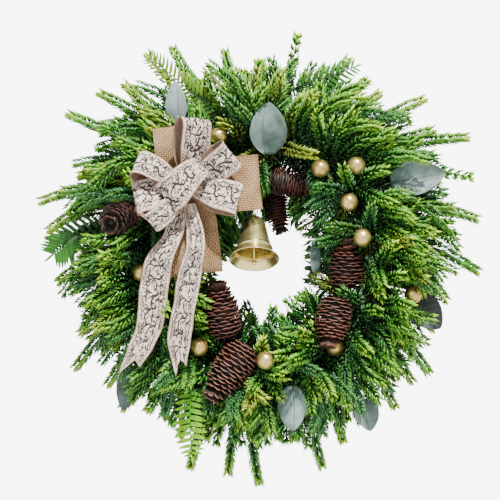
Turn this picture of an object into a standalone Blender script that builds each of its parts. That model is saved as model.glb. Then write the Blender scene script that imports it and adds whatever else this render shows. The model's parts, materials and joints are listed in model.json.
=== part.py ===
"""A christmas wreath that hangs on a door: greenery sprays on a vine ring, with cones, berries, leaves,
fern fronds, a two-layer ribbon bow, and a small bell in the hole. Metres, +Z up, seen from -Y."""

import math
import random
from itertools import product

import bmesh
import bpy
from mathutils import Vector
from mathutils.bvhtree import BVHTree

for old in list(bpy.data.objects):
    bpy.data.objects.remove(old)

# Driving sizes. The origin is where the hanger loop bears on its nail.
MM = 0.001
GAP = 0.3 * MM  # between pieces that touch
RING_RADIUS = 115 * MM  # to the middle of the vine
VINE_RADIUS = 9.4 * MM
VINE_STRAND = 1.6 * MM  # how far the three strands stand out
RING_DROP = 138 * MM  # the wreath's centre below the nail
RING_Y = -9 * MM  # the ring's plane
PIXEL = 1.05 * MM  # what one pixel of the photograph spans on the wreath
CENTRE_PX, CENTRE_PY = 262, 258  # the wreath's centre in the photograph
CENTRE = Vector((0, RING_Y, -RING_DROP))
FRONT = Vector((0, -1, 0))


def spot(px, py, forward=0.0):
    """The place seen at a pixel, this many millimetres in front of the ring's plane."""
    across, down = (px - CENTRE_PX) * PIXEL, (py - CENTRE_PY) * PIXEL
    return Vector((across, RING_Y - forward * MM, -RING_DROP - down))


def polar(angle, radius, forward=0.0):
    """The place at an angle (degrees) and radius round the wreath's centre, this far forward."""
    a = math.radians(angle)
    return CENTRE + Vector((radius * math.cos(a), -forward, radius * math.sin(a)))


def polar_of(point):
    """Angle in degrees and radius of a place, round the wreath's centre."""
    x, z = point.x - CENTRE.x, point.z - CENTRE.z
    return math.degrees(math.atan2(z, x)), math.hypot(x, z)


def smooth(t):
    t = min(max(t, 0.0), 1.0)
    return t * t * (3 - 2 * t)


def mix(a, b, t):
    return a + (b - a) * t


# Making, joining and placing objects


def finish(name, colour, roughness, metallic=0.0):
    material = bpy.data.materials.new(name)
    material.use_nodes = True
    shader = material.node_tree.nodes["Principled BSDF"]
    shader.inputs["Base Color"].default_value = (*colour, 1)
    shader.inputs["Roughness"].default_value = roughness
    shader.inputs["Metallic"].default_value = metallic
    return material


def shape(name, points, faces, material, origin=None):
    """A mesh object. Its points are in world space, and its origin is set to the given place."""
    origin = origin or Vector()
    mesh = bpy.data.meshes.new(name)
    mesh.from_pydata([Vector(p) - origin for p in points], [], faces)
    body = bmesh.new()
    body.from_mesh(mesh)
    bmesh.ops.recalc_face_normals(body, faces=body.faces)
    body.to_mesh(mesh)
    body.free()
    mesh.materials.append(material)
    obj = bpy.data.objects.new(name, mesh)
    obj.location = origin
    bpy.context.scene.collection.objects.link(obj)
    return obj


def tube(name, path, radius, material, sides=6, cyclic=False, origin=None):
    """A round rod along a path, with filled ends, as a mesh."""
    origin = origin or Vector()
    curve = bpy.data.curves.new(name, "CURVE")
    curve.dimensions = "3D"
    curve.bevel_depth = radius
    curve.bevel_resolution = (sides - 4) // 2
    curve.use_fill_caps = not cyclic
    spline = curve.splines.new("POLY")
    spline.points.add(len(path) - 1)
    spline.use_cyclic_u = cyclic
    for i, place in enumerate(path):
        spline.points[i].co = (*(Vector(place) - origin), 1)
    guide = bpy.data.objects.new(name + "_guide", curve)
    bpy.context.scene.collection.objects.link(guide)
    bpy.context.view_layer.update()
    graph = bpy.context.evaluated_depsgraph_get()
    mesh = bpy.data.meshes.new_from_object(guide.evaluated_get(graph))
    bpy.data.objects.remove(guide)
    body = bmesh.new()
    body.from_mesh(mesh)
    bmesh.ops.remove_doubles(body, verts=body.verts, dist=0.001 * MM)
    bmesh.ops.recalc_face_normals(body, faces=body.faces)
    body.to_mesh(mesh)
    body.free()
    mesh.materials.clear()
    mesh.materials.append(material)
    obj = bpy.data.objects.new(name, mesh)
    obj.location = origin
    bpy.context.scene.collection.objects.link(obj)
    return obj


def apply_modifiers(obj):
    bpy.context.view_layer.update()
    graph = bpy.context.evaluated_depsgraph_get()
    mesh = bpy.data.meshes.new_from_object(obj.evaluated_get(graph))
    obj.modifiers.clear()
    obj.data = mesh
    return obj


def boolean(obj, others, operation):
    """Joins or cuts the object with all the others at once, then removes them."""
    group = bpy.data.collections.new(obj.name + "_others")
    bpy.context.scene.collection.children.link(group)
    for other in others:
        group.objects.link(other)
    step = obj.modifiers.new("boolean", "BOOLEAN")
    step.operation = operation
    step.operand_type = "COLLECTION"
    step.collection = group
    step.solver = "EXACT"
    apply_modifiers(obj)
    for other in list(others):
        bpy.data.objects.remove(other)
    bpy.data.collections.remove(group)
    return obj


def fuse(obj, others):
    return boolean(obj, others, "UNION")


def thicken(obj, thickness):
    """Gives a triangulated sheet its thickness, alike on both faces."""
    step = obj.modifiers.new("thickness", "SOLIDIFY")
    step.thickness = thickness
    step.offset = 0
    step.use_even_offset = False
    return apply_modifiers(obj)


def round_shading(obj, degrees=40):
    obj.data.shade_smooth()
    obj.data.set_sharp_from_angle(angle=math.radians(degrees))


def bezier(a, b, c, d, count):
    """Points along a cubic curve from a to d, drawn by b and c."""
    points = []
    for i in range(count):
        t = i / (count - 1)
        u = 1 - t
        points.append(a * u**3 + b * (3 * u * u * t) + c * (3 * u * t * t) + d * t**3)
    return points


def along(points, t):
    """A place on the broken line through the points, t from 0 to 1, and the line's direction there."""
    at = min(max(t, 0), 1) * (len(points) - 1)
    i = min(int(at), len(points) - 2)
    return points[i].lerp(points[i + 1], at - i), (points[i + 1] - points[i]).normalized()


VINE = finish("vine", (0.16, 0.09, 0.05), 0.85)
WIRE = finish("green_wire", (0.08, 0.12, 0.07), 0.45, 0.6)
NEEDLES = finish("needles", (0.10, 0.22, 0.05), 0.55)
OLIVE_FERN = finish("olive_fern", (0.35, 0.38, 0.06), 0.55)
GREEN_FERN = finish("green_fern", (0.12, 0.28, 0.08), 0.5)
EUCALYPTUS = finish("eucalyptus", (0.16, 0.25, 0.20), 0.7)
CONE_WOOD = finish("cone_wood", (0.16, 0.07, 0.04), 0.7)
GOLD_BERRY = finish("gold_berry", (0.62, 0.42, 0.14), 0.35, 0.6)
BURLAP = finish("burlap", (0.42, 0.25, 0.12), 0.95)
RIBBON = finish("ribbon", (0.62, 0.50, 0.42), 0.8)
BELL_METAL = finish("bell_metal", (0.60, 0.52, 0.24), 0.3, 1.0)

# Vine ring: three strands twisted into one, bent round and closed
RING_STEPS, RING_SIDES, RING_TWISTS = 36, 9, 6


def make_vine_ring():
    points, faces = [], []
    for i in range(RING_STEPS):
        turn = 2 * math.pi * i / RING_STEPS
        for j in range(RING_SIDES):
            lean = 2 * math.pi * j / RING_SIDES
            thick = VINE_RADIUS + VINE_STRAND * math.cos(3 * lean - RING_TWISTS * turn)
            out, forward = thick * math.sin(lean), thick * math.cos(lean)
            points.append(polar(math.degrees(turn), RING_RADIUS + out, forward))
            a, b = i * RING_SIDES, (i + 1) % RING_STEPS * RING_SIDES
            k = (j + 1) % RING_SIDES
            faces += [(a + j, b + j, b + k), (a + j, b + k, a + k)]
    ring = shape("vine_ring", points, faces, VINE, CENTRE)
    round_shading(ring)
    return ring


vine_ring = make_vine_ring()
bpy.context.view_layer.update()


def world_tree(obj, swell=0.0):
    """The object's surface in world space, for finding what lies near it."""
    points = [obj.matrix_world @ v.co for v in obj.data.vertices]
    if swell:
        normals = [obj.matrix_world.to_3x3() @ v.normal for v in obj.data.vertices]
        points = [p + n * swell for p, n in zip(points, normals)]
    return BVHTree.FromPolygons(points, [p.vertices for p in obj.data.polygons])


RING_TREE = world_tree(vine_ring)


def seat(angle, lean, clearance):
    """A place this far off the vine's surface, and the way out of it. Lean 0 is the front, 90 outside."""
    tilt = math.radians(lean)
    middle = polar(angle, RING_RADIUS)
    outward = (polar(angle, 1) - CENTRE) * math.sin(tilt) + FRONT * math.cos(tilt)
    far = middle + outward * 3 * VINE_RADIUS
    surface, normal, _, _ = RING_TREE.ray_cast(far, -outward)
    return surface + normal * clearance, normal


# Hanger loop: a wire eye at the back that hangs on a nail, on a turn of wire round the vine
HANGER_WIRE = 0.8 * MM
HANGER_EYE = 7 * MM  # inner radius of the eye


def make_hanger():
    """The nail bears on the inside of the eye's top, at the origin."""
    around = VINE_RADIUS + VINE_STRAND + HANGER_WIRE
    middle = Vector((0, RING_Y, RING_RADIUS - RING_DROP))
    turns = [math.radians(30 * i) for i in range(12)]
    wrap = [middle + around * Vector((0, math.cos(a), math.sin(a))) for a in turns]
    rim = HANGER_EYE + HANGER_WIRE
    eye = [Vector((rim * math.cos(a), 0, rim * math.sin(a) - HANGER_EYE)) for a in turns]
    loop = tube("hanger_loop", eye, HANGER_WIRE, WIRE, sides=6, cyclic=True)
    return fuse(loop, [tube("wrap", wrap, HANGER_WIRE, WIRE, sides=6, cyclic=True)])


hanger_loop = make_hanger()
round_shading(hanger_loop)

# Picks: each cone, berry, leaf and frond has a wired stem that ends on the vine
STEM = 1.0 * MM
STEM_SIDES, STEM_POINTS = 4, 4
STEM_LEAN = 52  # degrees from the vine's front, where the stems sit either side of the sprays
LEAN_SHARES = (1, 0.8, 1.2, 0.6, 1.4)  # the seats tried in turn, until the stem clears the vine
CLEARANCES = (1.2 * GAP, 2 * GAP, 2.8 * GAP)
STEM_LIFT = 12 * MM  # how far a stem first runs straight out of the vine


def stem_to_ring(name, end, arrival, material, shift=0.0):
    """A stem from its seat on the vine to the piece, which it reaches along the arrival direction."""
    angle, radius = polar_of(end)
    lean = STEM_LEAN if radius > RING_RADIUS else -STEM_LEAN
    for share, clearance in product(LEAN_SHARES, CLEARANCES):
        foot, outward = seat(angle + shift, lean * share, clearance)
        reach = (end - foot).length
        lift = foot + outward * min(0.4 * reach, STEM_LIFT)
        path = bezier(foot, lift, end - arrival * 0.35 * reach, end, STEM_POINTS)
        stem = tube(name + "_stem", path, STEM, material, sides=STEM_SIDES)
        if not world_tree(stem, 0.2 * MM).overlap(RING_TREE):
            return stem
        bpy.data.objects.remove(stem)
    raise ValueError(f"{name}: no seat on the vine")


# Pine cones: rows of woody scales in a spiral, each raised to a lip
CONE_ROWS, CONE_SCALES = 9, 7
CONE_CORE = 0.72  # the share of the radius that is solid under the scales
CONE_START, CONE_SPAN = 0.04, 0.92  # where the rows begin, and how much of the length they take
LIP_AHEAD = 1.55  # rows from a scale's root to its lip
FULLEST = 0.38  # where along its length a cone is widest


def make_cone(name, base, tip, radius, shift):
    axis = tip - base
    length = axis.length
    points, faces = [Vector((0, 0, 0))], []

    def girth(t):
        return radius * math.sqrt(1 - ((t - FULLEST) / 0.66) ** 2)

    def corner(row, k):
        return 1 + row * CONE_SCALES + k % CONE_SCALES

    for row in range(CONE_ROWS):
        t = CONE_START + CONE_SPAN * row / (CONE_ROWS - 1)
        for k in range(CONE_SCALES):
            turn = 2 * math.pi * (k + 0.5 * row) / CONE_SCALES
            r = CONE_CORE * girth(t)
            points.append(Vector((r * math.cos(turn), r * math.sin(turn), t * length)))
    for row in range(CONE_ROWS - 2):
        t = CONE_START + CONE_SPAN * (row + LIP_AHEAD) / (CONE_ROWS - 1)
        for k in range(CONE_SCALES):
            # A scale's root is at the row's corner k, and its lip stands out over the rows above
            turn = 2 * math.pi * (k + 0.5 * row) / CONE_SCALES
            lip = Vector((girth(t) * math.cos(turn), girth(t) * math.sin(turn), t * length))
            points.append(lip)
            low, top, end = corner(row, k), corner(row + 2, k - 1), len(points) - 1
            left, right = corner(row + 1, k - 1), corner(row + 1, k)
            faces += [(low, right, end), (right, top, end), (top, left, end), (left, low, end)]
    last = CONE_ROWS - 1
    points.append(Vector((0, 0, length)))
    for k in range(CONE_SCALES):
        faces.append((0, corner(0, k + 1), corner(0, k)))
        faces.append((corner(0, k), corner(0, k + 1), corner(1, k)))
        faces.append((corner(last - 1, k), corner(last, k), corner(last, k - 1)))
        faces.append((corner(last, k), corner(last, k + 1), len(points) - 1))
    cone = shape(name, points, faces, CONE_WOOD)
    cone.location = base
    cone.rotation_mode = "QUATERNION"
    cone.rotation_quaternion = axis.to_track_quat("Z", "Y")
    way = axis.normalized()
    stem = stem_to_ring(name, base + way * 0.15 * length, way, CONE_WOOD, shift)
    return fuse(cone, [stem])


# Each cone: base and tip as pixels and millimetres forward, radius, and its seat's turn round the ring
CONES = [
    ((131, 212, 18), (112, 224, 58), 18.0, -10),
    ((268, 180, 30), (310, 188, 34), 14.5, -6),
    ((276, 198, 6), (282, 233, 8), 12.5, -6),
    ((344, 290, 34), (346, 241, 36), 18.0, 6),
    ((336, 296, 46), (327, 344, 50), 18.0, -4),
    ((226, 337, 42), (218, 282, 46), 18.0, 8),
    ((247, 343, 44), (212, 396, 50), 19.0, 4),
]
cones = []
for n, (low, high, wide, turn) in enumerate(CONES, 1):
    cones.append(make_cone(f"cone_{n}", spot(*low), spot(*high), wide * MM, turn))

# Gold berries, each on a wired stem: where they are seen, and millimetres forward
BERRY = 9.4 * MM
BERRIES = [
    (219, 138, 40),
    (319, 170, 46),
    (354.5, 167, 44),
    (347, 203, 48),
    (360, 238, 54),
    (411, 294, 38),
    (334, 346, 29),
    (265, 358, 62),
    (200, 345, 50),
    (143, 272, 44),
    (116, 240, 12),
]


def make_berry(name, place):
    body = bmesh.new()
    bmesh.ops.create_icosphere(body, subdivisions=2, radius=BERRY)
    mesh = bpy.data.meshes.new(name)
    body.to_mesh(mesh)
    body.free()
    mesh.materials.append(GOLD_BERRY)
    berry = bpy.data.objects.new(name, mesh)
    berry.location = place
    bpy.context.scene.collection.objects.link(berry)
    fuse(berry, [stem_to_ring(name, place, FRONT, WIRE)])
    round_shading(berry, 60)
    return berry


berries = [make_berry(f"berry_{n:02d}", spot(*place)) for n, place in enumerate(BERRIES, 1)]

# Eucalyptus leaves: an oval blade, folded a little along a raised midrib
LEAF_THICK = 0.9 * MM
LEAF_ROWS = 7
LEAF_BOW = 4 * MM  # how far the blade arches forward
LEAF_FOLD = 0.18  # how far its edges stand up, as a share of its half width


def make_leaf(name, base, tip, width, shift):
    axis = tip - base
    length = axis.length
    way = axis.normalized()
    side = way.cross(FRONT).normalized()
    face = side.cross(way).normalized()
    points, faces = [], []
    columns = (-1, 0, 1)
    for row in range(LEAF_ROWS):
        t = 0.03 + 0.9 * row / (LEAF_ROWS - 1)
        half = 0.5 * width * math.sin(math.pi * t**0.85) ** 0.7
        for c in columns:
            lift = LEAF_BOW * math.sin(math.pi * t) + LEAF_FOLD * half * abs(c)
            points.append(base + way * length * t + side * half * c + face * lift)
    points.append(tip)
    n = len(columns)
    for row in range(LEAF_ROWS - 1):
        for c in range(n - 1):
            a, b = row * n + c, (row + 1) * n + c
            faces += [(a, a + 1, b + 1), (a, b + 1, b)]
    last = (LEAF_ROWS - 1) * n
    for c in range(n - 1):
        faces.append((last + c, last + c + 1, len(points) - 1))
    leaf = thicken(shape(name, points, faces, EUCALYPTUS, base), LEAF_THICK)
    joint = base + way * 0.12 * length + face * 0.35 * LEAF_BOW
    fuse(leaf, [stem_to_ring(name, joint, way, EUCALYPTUS, shift)])
    round_shading(leaf, 50)
    return leaf


# Each leaf: base and tip as pixels and millimetres forward, width in pixels, and its seat's turn
LEAVES = [
    ((178, 128, 30), (176, 83, 36), 19, 0),
    ((268, 157, 42), (268, 104, 46), 37, 0),
    ((387, 183, 34), (443, 174, 38), 34, 0),
    ((411, 297, 16), (441, 328, 12), 25, 4),
    ((291, 382, 36), (292, 429, 36), 29, 0),
    ((362, 396, 32), (369, 429, 32), 24, 0),
    ((136, 363, 22), (124, 409, 22), 25, 0),
    ((314, 241, 26), (315, 278, 30), 11, 12),
]
leaves = []
for n, (low, high, wide, turn) in enumerate(LEAVES, 1):
    leaves.append(make_leaf(f"leaf_{n}", spot(*low), spot(*high), wide * PIXEL, turn))

# Fern fronds: leaflets cut to the rib in one thin arched blade
FERN_THICK = 0.8 * MM
RIB = 1.3 * MM
FERN_ARCH = 5 * MM


def make_fern(name, route, count, length, material, shift):
    """The route is where the rib is seen. Leaflets lean forward and grow shorter to both ends."""
    points, faces = [], []
    stations = 2 * count

    def leaflet(a, b, t, side, way, face):
        """Two more corners: the leaflet's belly on its lower edge, and its point."""
        size = length * (0.45 + 0.55 * math.sin(math.pi * (0.12 + 0.8 * t)))
        slope = (side * 0.8 + way * 0.6).normalized()
        middle = (points[a] + points[b]) / 2
        belly = middle + slope * size * 0.45 - (points[b] - points[a]) * 0.7 + face * 0.1 * size
        points.extend([belly, middle + slope * size - face * 0.05 * size])
        return len(points) - 2

    rows = []
    for i in range(stations + 1):
        t = i / stations
        place, way = along(route, t)
        side = way.cross(FRONT).normalized()
        face = side.cross(way).normalized()
        half = RIB * mix(1, 0.6, t)
        arch = face * FERN_ARCH * math.sin(math.pi * t)
        rows.append((len(points), side, way, face))
        points.extend([place + arch - side * half, place + arch + side * half])
    for i in range(stations):
        a, b = rows[i][0], rows[i + 1][0]
        faces += [(a, a + 1, b + 1), (a, b + 1, b)]
        if i % 2:
            continue
        _, side, way, face = rows[i]
        t = i / stations
        m = leaflet(a + 1, b + 1, t, side, way, face)
        faces += [(a + 1, m, b + 1), (m, m + 1, b + 1)]
        m = leaflet(a, b, t, -side, way, face)
        faces += [(a, b, m), (m, b, m + 1)]
    last = rows[-1][0]
    points.append((points[last] + points[last + 1]) / 2 + rows[-1][2] * 0.6 * length)
    faces.append((last, last + 1, len(points) - 1))
    fern = thicken(shape(name, points, faces, material, route[0]), FERN_THICK)
    start, way = along(route, 0.08)
    fuse(fern, [stem_to_ring(name, start + FRONT * FERN_THICK, way, material, shift)])
    return fern


# Each fern: its rib's route, pairs of leaflets, their length in pixels, material, and its seat's turn
FERNS = [
    ([(107, 227, 14), (78, 235, 14), (67, 243, 12), (54, 254, 8)], 8, 17, GREEN_FERN, -7),
    ([(293, 90, 24), (324, 80, 22), (354, 68, 16)], 8, 13, GREEN_FERN, 0),
    ([(192, 387, 40), (191, 420, 40), (193, 453, 34)], 9, 15, OLIVE_FERN, 0),
    ([(228, 123, 22), (190, 92, 20), (151, 58, 12)], 11, 20, OLIVE_FERN, 0),
]
ferns = []
for n, (route, count, wide, material, turn) in enumerate(FERNS, 1):
    line = [spot(*p) for p in route]
    ferns.append(make_fern(f"fern_{n}", line, count, wide * PIXEL, material, turn))

# Bow: two layers of ribbon, each gathered at a waist that the bow wire runs through
BOW_PX, BOW_PY = 188, 190
CLOTH = 0.9 * MM
WAIST = {"burlap_bow": 9 * MM, "ribbon_bow": 11 * MM}  # radius
BOW_WIRE = 1.1 * MM
BURLAP_BACK, BURLAP_FRONT, RIBBON_BACK, RIBBON_FRONT = 64.5, 71.0, 71.3, 79.5
LOOP_STEPS = 8
PINCH = 0.38  # a loop's width at the waist, as a share of its full width
TUCKED = 2.5 * MM  # how far a loop's ends reach into the waist
SWELL = 0.9  # how round a loop is, less being rounder


def waist(name, back, front, material):
    """The gathered middle, a short round plug along the bow's axis."""
    ends = [spot(BOW_PX, BOW_PY, back), spot(BOW_PX, BOW_PY, front)]
    return tube(name, ends, WAIST[name], material, sides=10, origin=ends[0])


def strip(name, centres, sides, material):
    """A ribbon through the centre points, reaching from -side to +side at each."""
    points, faces = [], []
    for centre, side in zip(centres, sides):
        points += [centre - side, centre + side]
    for i in range(len(centres) - 1):
        a, b = 2 * i, 2 * i + 2
        faces += [(a, a + 1, b + 1), (a, b + 1, b)]
    return thicken(shape(name, points, faces, material), CLOTH)


def bow_loop(name, forward, root, angle, length, width, bulge, rise, tilt, material):
    """A loop out from the waist and back. Tilt turns the ribbon's width about the loop's length."""
    a = math.radians(angle)
    way = Vector((math.cos(a), 0, math.sin(a)))
    across = way.cross(FRONT)
    turned = math.radians(tilt)
    side = across * math.cos(turned) + FRONT * math.sin(turned)
    over = side.cross(way)
    start = spot(BOW_PX, BOW_PY, forward)
    centres, sides = [], []
    first = math.asin((root / length) ** (1 / SWELL)) / math.pi
    for i in range(LOOP_STEPS + 1):
        t = mix(first, 1 - first, i / LOOP_STEPS)
        out = length * math.sin(math.pi * t) ** SWELL
        centre = start + way * out + FRONT * rise * out
        centres.append(centre - over * bulge * math.sin(2 * math.pi * t))
        wide = mix(PINCH, 1, smooth(1.5 * out / length))
        sides.append(side * 0.5 * width * wide)
    return strip(name, centres, sides, material)


# Each loop: angle, length and width in pixels, bulge in millimetres, rise, and tilt in degrees
BURLAP_LOOPS = [(95, 64, 52, 7, 0.02, 0), (6, 71, 52, 7, 0.02, 0), (-83, 80, 50, 7, 0.0, 0)]
RIBBON_LOOPS = [
    (86, 70, 30, 7, 0.30, 8),
    (41, 56, 28, 7, 0.36, -20),
    (-6, 47, 29, 7, 0.40, 8),
    (193, 53, 30, 7, 0.34, -12),
    (156, 58, 29, 8, 0.36, 40),
    (239, 42, 28, 7, 0.44, 12),
    (222, 26, 24, 7, 0.80, 0),
]


def make_bow(name, back, front, loops, material, more=()):
    body = waist(name, back, front, material)
    middle = (back + front) / 2
    parts = list(more)
    for n, (angle, length, width, bulge, rise, tilt) in enumerate(loops):
        sizes = length * PIXEL, width * PIXEL, bulge * MM
        root = WAIST[name] - TUCKED
        parts.append(bow_loop(f"{name}_loop_{n}", middle, root, angle, *sizes, rise, tilt, material))
    return fuse(body, parts)


# Each tail: its middle as pixels and millimetres forward, and half its width across and forward
LEFT_TAIL = [
    (184, 204, 76), (173, 236, 84), (161, 256, 84), (156, 286, 76), (152, 320, 68), (142, 344, 64),
    (131, 370, 62),
]
LEFT_HALF = [(6, 1), (10, 3), (13, 3), (14, 2), (13, 3), (13, 6), (12, 8)]
RIGHT_TAIL = [
    (191, 205, 77), (197, 232, 83), (197, 249, 84), (192, 272, 80), (186, 300, 72), (180, 332, 66),
    (179, 372, 63),
]
RIGHT_HALF = [(6, 0), (8, 2), (9, 3), (11, 2), (11, 4), (11, 5), (9, 3)]
TAIL_STEPS = 8


def tail(name, route, halves):
    centres, sides = [], []
    for i in range(TAIL_STEPS + 1):
        t = i / TAIL_STEPS
        centres.append(along([spot(*p) for p in route], t)[0])
        half = along([Vector((across, 0, 0)) + FRONT * ahead for across, ahead in halves], t)[0]
        sides.append(half * PIXEL)
    return strip(name, centres, sides, RIBBON)


tails = [tail("left_tail", LEFT_TAIL, LEFT_HALF), tail("right_tail", RIGHT_TAIL, RIGHT_HALF)]
burlap_bow = make_bow("burlap_bow", BURLAP_BACK, BURLAP_FRONT, BURLAP_LOOPS, BURLAP)
ribbon_bow = make_bow("ribbon_bow", RIBBON_BACK, RIBBON_FRONT, RIBBON_LOOPS, RIBBON, tails)
SOCKET_END = RIBBON_BACK + 5
SOCKET_ROOM = 0.4 * MM  # round the wire in its hole
for layer in (burlap_bow, ribbon_bow):
    ends = [spot(BOW_PX, BOW_PY, BURLAP_BACK - 3), spot(BOW_PX, BOW_PY, SOCKET_END)]
    boolean(layer, [tube("wire_hole", ends, BOW_WIRE + SOCKET_ROOM, WIRE, 8)], "DIFFERENCE")


def make_bow_wire():
    """A stiff shank from the vine's inner front, bent forward through the bow's waist."""
    end = spot(BOW_PX, BOW_PY, SOCKET_END - 0.5)
    bend = spot(BOW_PX, BOW_PY, 36)
    foot, outward = seat(polar_of(bend)[0], -40, GAP)
    path = bezier(foot, foot + outward * 8 * MM, bend - FRONT * 12 * MM, bend, 6) + [end]
    return tube("bow_wire", path, BOW_WIRE, WIRE, sides=6)


bow_wire = make_bow_wire()

# Bell: a turned brass shell, tilted so that its mouth shows, and the wire that it swings on
BELL_PX, BELL_PY, BELL_FORWARD = 254, 215, 42
BELL_TILT = 29
BELL_WALL = 1.0 * MM
EYE_HOLE, EYE_ROD = 1.3 * MM, 0.9 * MM
BELL_WIRE = 0.8 * MM
CLAPPER_DROP = 15 * MM
BELL_STEPS = 16
BELL_PROFILE = [  # radius and distance below the eye, down the outside
    (3.2, 2.6), (7.2, 4.2), (11.0, 9.5), (13.2, 18.0), (15.2, 28.0),
    (16.9, 33.0), (16.7, 36.0), (19.2, 42.5), (22.2, 47.5), (25.7, 52.0),
]
STAPLE_HALF, STAPLE_TOP, STAPLE_ROD = 3.2 * MM, -4.0 * MM, 0.7 * MM
bell_pivot = spot(BELL_PX, BELL_PY, BELL_FORWARD)


def wire_eye(name, hole, rod):
    """A small wire ring in the YZ plane."""
    turns = [math.radians(30 * i) for i in range(12)]
    path = [(hole + rod) * Vector((0, math.cos(a), math.sin(a))) for a in turns]
    return tube(name, path, rod, BELL_METAL, cyclic=True)


def staple(name, half, top, low, rod):
    """A wire bridge along X at the height low, its ends turned up to the height top."""
    rise = 2 * rod
    corner = [Vector((-half, 0, low + rise)), Vector((-half + rise * 0.6, 0, low + rise * 0.2))]
    path = [Vector((-half, 0, top)), *corner, Vector((-half + 1.2 * rise, 0, low))]
    path += [Vector((-p.x, 0, p.z)) for p in reversed(path)]
    return tube(name, path, rod, BELL_METAL)


def make_bell():
    """Outside and inside are one turned outline. The eye stands on its crown, a staple is inside."""
    steps = BELL_STEPS
    outside = [(r * MM, -z * MM) for r, z in BELL_PROFILE]
    inside = [(r - BELL_WALL, z) for r, z in reversed(outside[2:])]
    inside += [(6.0 * MM, outside[1][1] - 1.3 * BELL_WALL - 0.5 * MM)]
    outline = outside + inside
    points = [Vector((0, 0, outside[0][1] + 0.3 * MM))]
    for r, z in outline:
        for k in range(steps):
            a = 2 * math.pi * k / steps
            points.append(Vector((r * math.cos(a), r * math.sin(a), z)))
    points.append(Vector((0, 0, outline[-1][1] + 0.2 * MM)))
    faces = []
    for k in range(steps):
        j = (k + 1) % steps
        faces.append((0, 1 + k, 1 + j))
        for i in range(len(outline) - 1):
            a, b = 1 + i * steps, 1 + (i + 1) * steps
            faces.append((a + j, a + k, b + k, b + j))
        a = 1 + (len(outline) - 1) * steps
        faces.append((a + j, a + k, len(points) - 1))
    bell = shape("bell", points, faces, BELL_METAL)
    eye = wire_eye("eye", EYE_HOLE, EYE_ROD)
    hook = staple("hook", STAPLE_HALF, STAPLE_TOP, -CLAPPER_DROP, STAPLE_ROD)
    fuse(bell, [eye, hook])
    bell.location = bell_pivot
    bell.rotation_euler = (math.radians(-BELL_TILT), 0, 0)
    round_shading(bell)
    return bell


CLAPPER_ROD = 0.7 * MM
CLAPPER_LENGTH = 37 * MM
CLAPPER_TILT = 22  # how far it leans back in the tilted bell
CLAPPER_HOLE, CLAPPER_BALL = 1.1 * MM, 2.4 * MM


def make_clapper():
    """A wire rod with an eye round the staple and a small ball at its lower end."""
    eye = wire_eye("clapper", CLAPPER_HOLE, CLAPPER_ROD)
    rod_path = [Vector((0, 0, -CLAPPER_HOLE - CLAPPER_ROD)), Vector((0, 0, -CLAPPER_LENGTH))]
    rod = tube("rod", rod_path, CLAPPER_ROD, BELL_METAL)
    body = bmesh.new()
    bmesh.ops.create_icosphere(body, subdivisions=1, radius=CLAPPER_BALL)
    mesh = bpy.data.meshes.new("ball")
    body.to_mesh(mesh)
    body.free()
    ball = bpy.data.objects.new("ball", mesh)
    ball.location = (0, 0, -CLAPPER_LENGTH)
    bpy.context.scene.collection.objects.link(ball)
    clapper = fuse(eye, [rod, ball])
    clapper.location = (0, 0, -CLAPPER_DROP)
    clapper.rotation_euler = (math.radians(CLAPPER_TILT), 0, 0)
    round_shading(clapper)
    return clapper


def make_bell_wire():
    """A closed loop whose lower bar runs through the bell's eye, on a shank from the vine."""
    half, high = 3.4 * MM, 9 * MM
    corner = 1.6 * MM
    loop = []
    for x, z, start in ((half, 0, -90), (half, high, 0), (-half, high, 90), (-half, 0, 180)):
        for turn in (0, 45, 90):
            a = math.radians(start + turn)
            inner = Vector((x - math.copysign(corner, x), 0, z + (corner if z == 0 else -corner)))
            loop.append(bell_pivot + inner + corner * Vector((math.cos(a), 0, math.sin(a))))
    wire = tube("bell_wire", loop, BELL_WIRE, WIRE, sides=6, cyclic=True, origin=bell_pivot)
    top = bell_pivot + Vector((0, 0, high))
    foot, outward = seat(polar_of(top)[0], -60, 1.5 * GAP)
    path = bezier(top, top + Vector((0, 0, 20 * MM)), foot + outward * 14 * MM, foot, 7)
    return fuse(wire, [tube("shank", path, BELL_WIRE, WIRE, sides=6)])


bell = make_bell()
clapper = make_clapper()
clapper.parent = bell
bell_wire = make_bell_wire()

# Greenery sprays: rope-like branchlets of short needles, on a wired stem along each part of the ring
SPRAYS = 18
SECTOR = 360 / SPRAYS
BAR = 3.0 * MM
BAR_HALF = 8.6  # degrees of the ring to each side of a spray's middle
BAR_RADIUS = RING_RADIUS + 2 * MM
CORE_ROOT, CORE_TIP = 2.5 * MM, 1.6 * MM
NEEDLE = 8.0 * MM
NEEDLE_SLOPE = math.radians(40)
NEEDLE_BAND, PLAIN_BAND = 3.6 * MM, 10.8 * MM
BARE = 20 * MM  # a branchlet's length without needles at its root
NEAR_ROOT = 12 * MM  # where branchlets of one spray may meet
DROOP = 0.65  # how far its weight turns greenery down at the rim
DROOP_FROM, DROOP_TO = 120 * MM, 215 * MM
SPARE = 0.5 * MM  # kept free round a branchlet
draw = random.Random(24)


def place_on(path, s):
    """The place and direction at a length along the path."""
    for a, b in zip(path, path[1:]):
        step = (b - a).length
        if s <= step or b is path[-1]:
            return a.lerp(b, min(s / step, 1.0)), (b - a).normalized()
        s -= step


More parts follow.
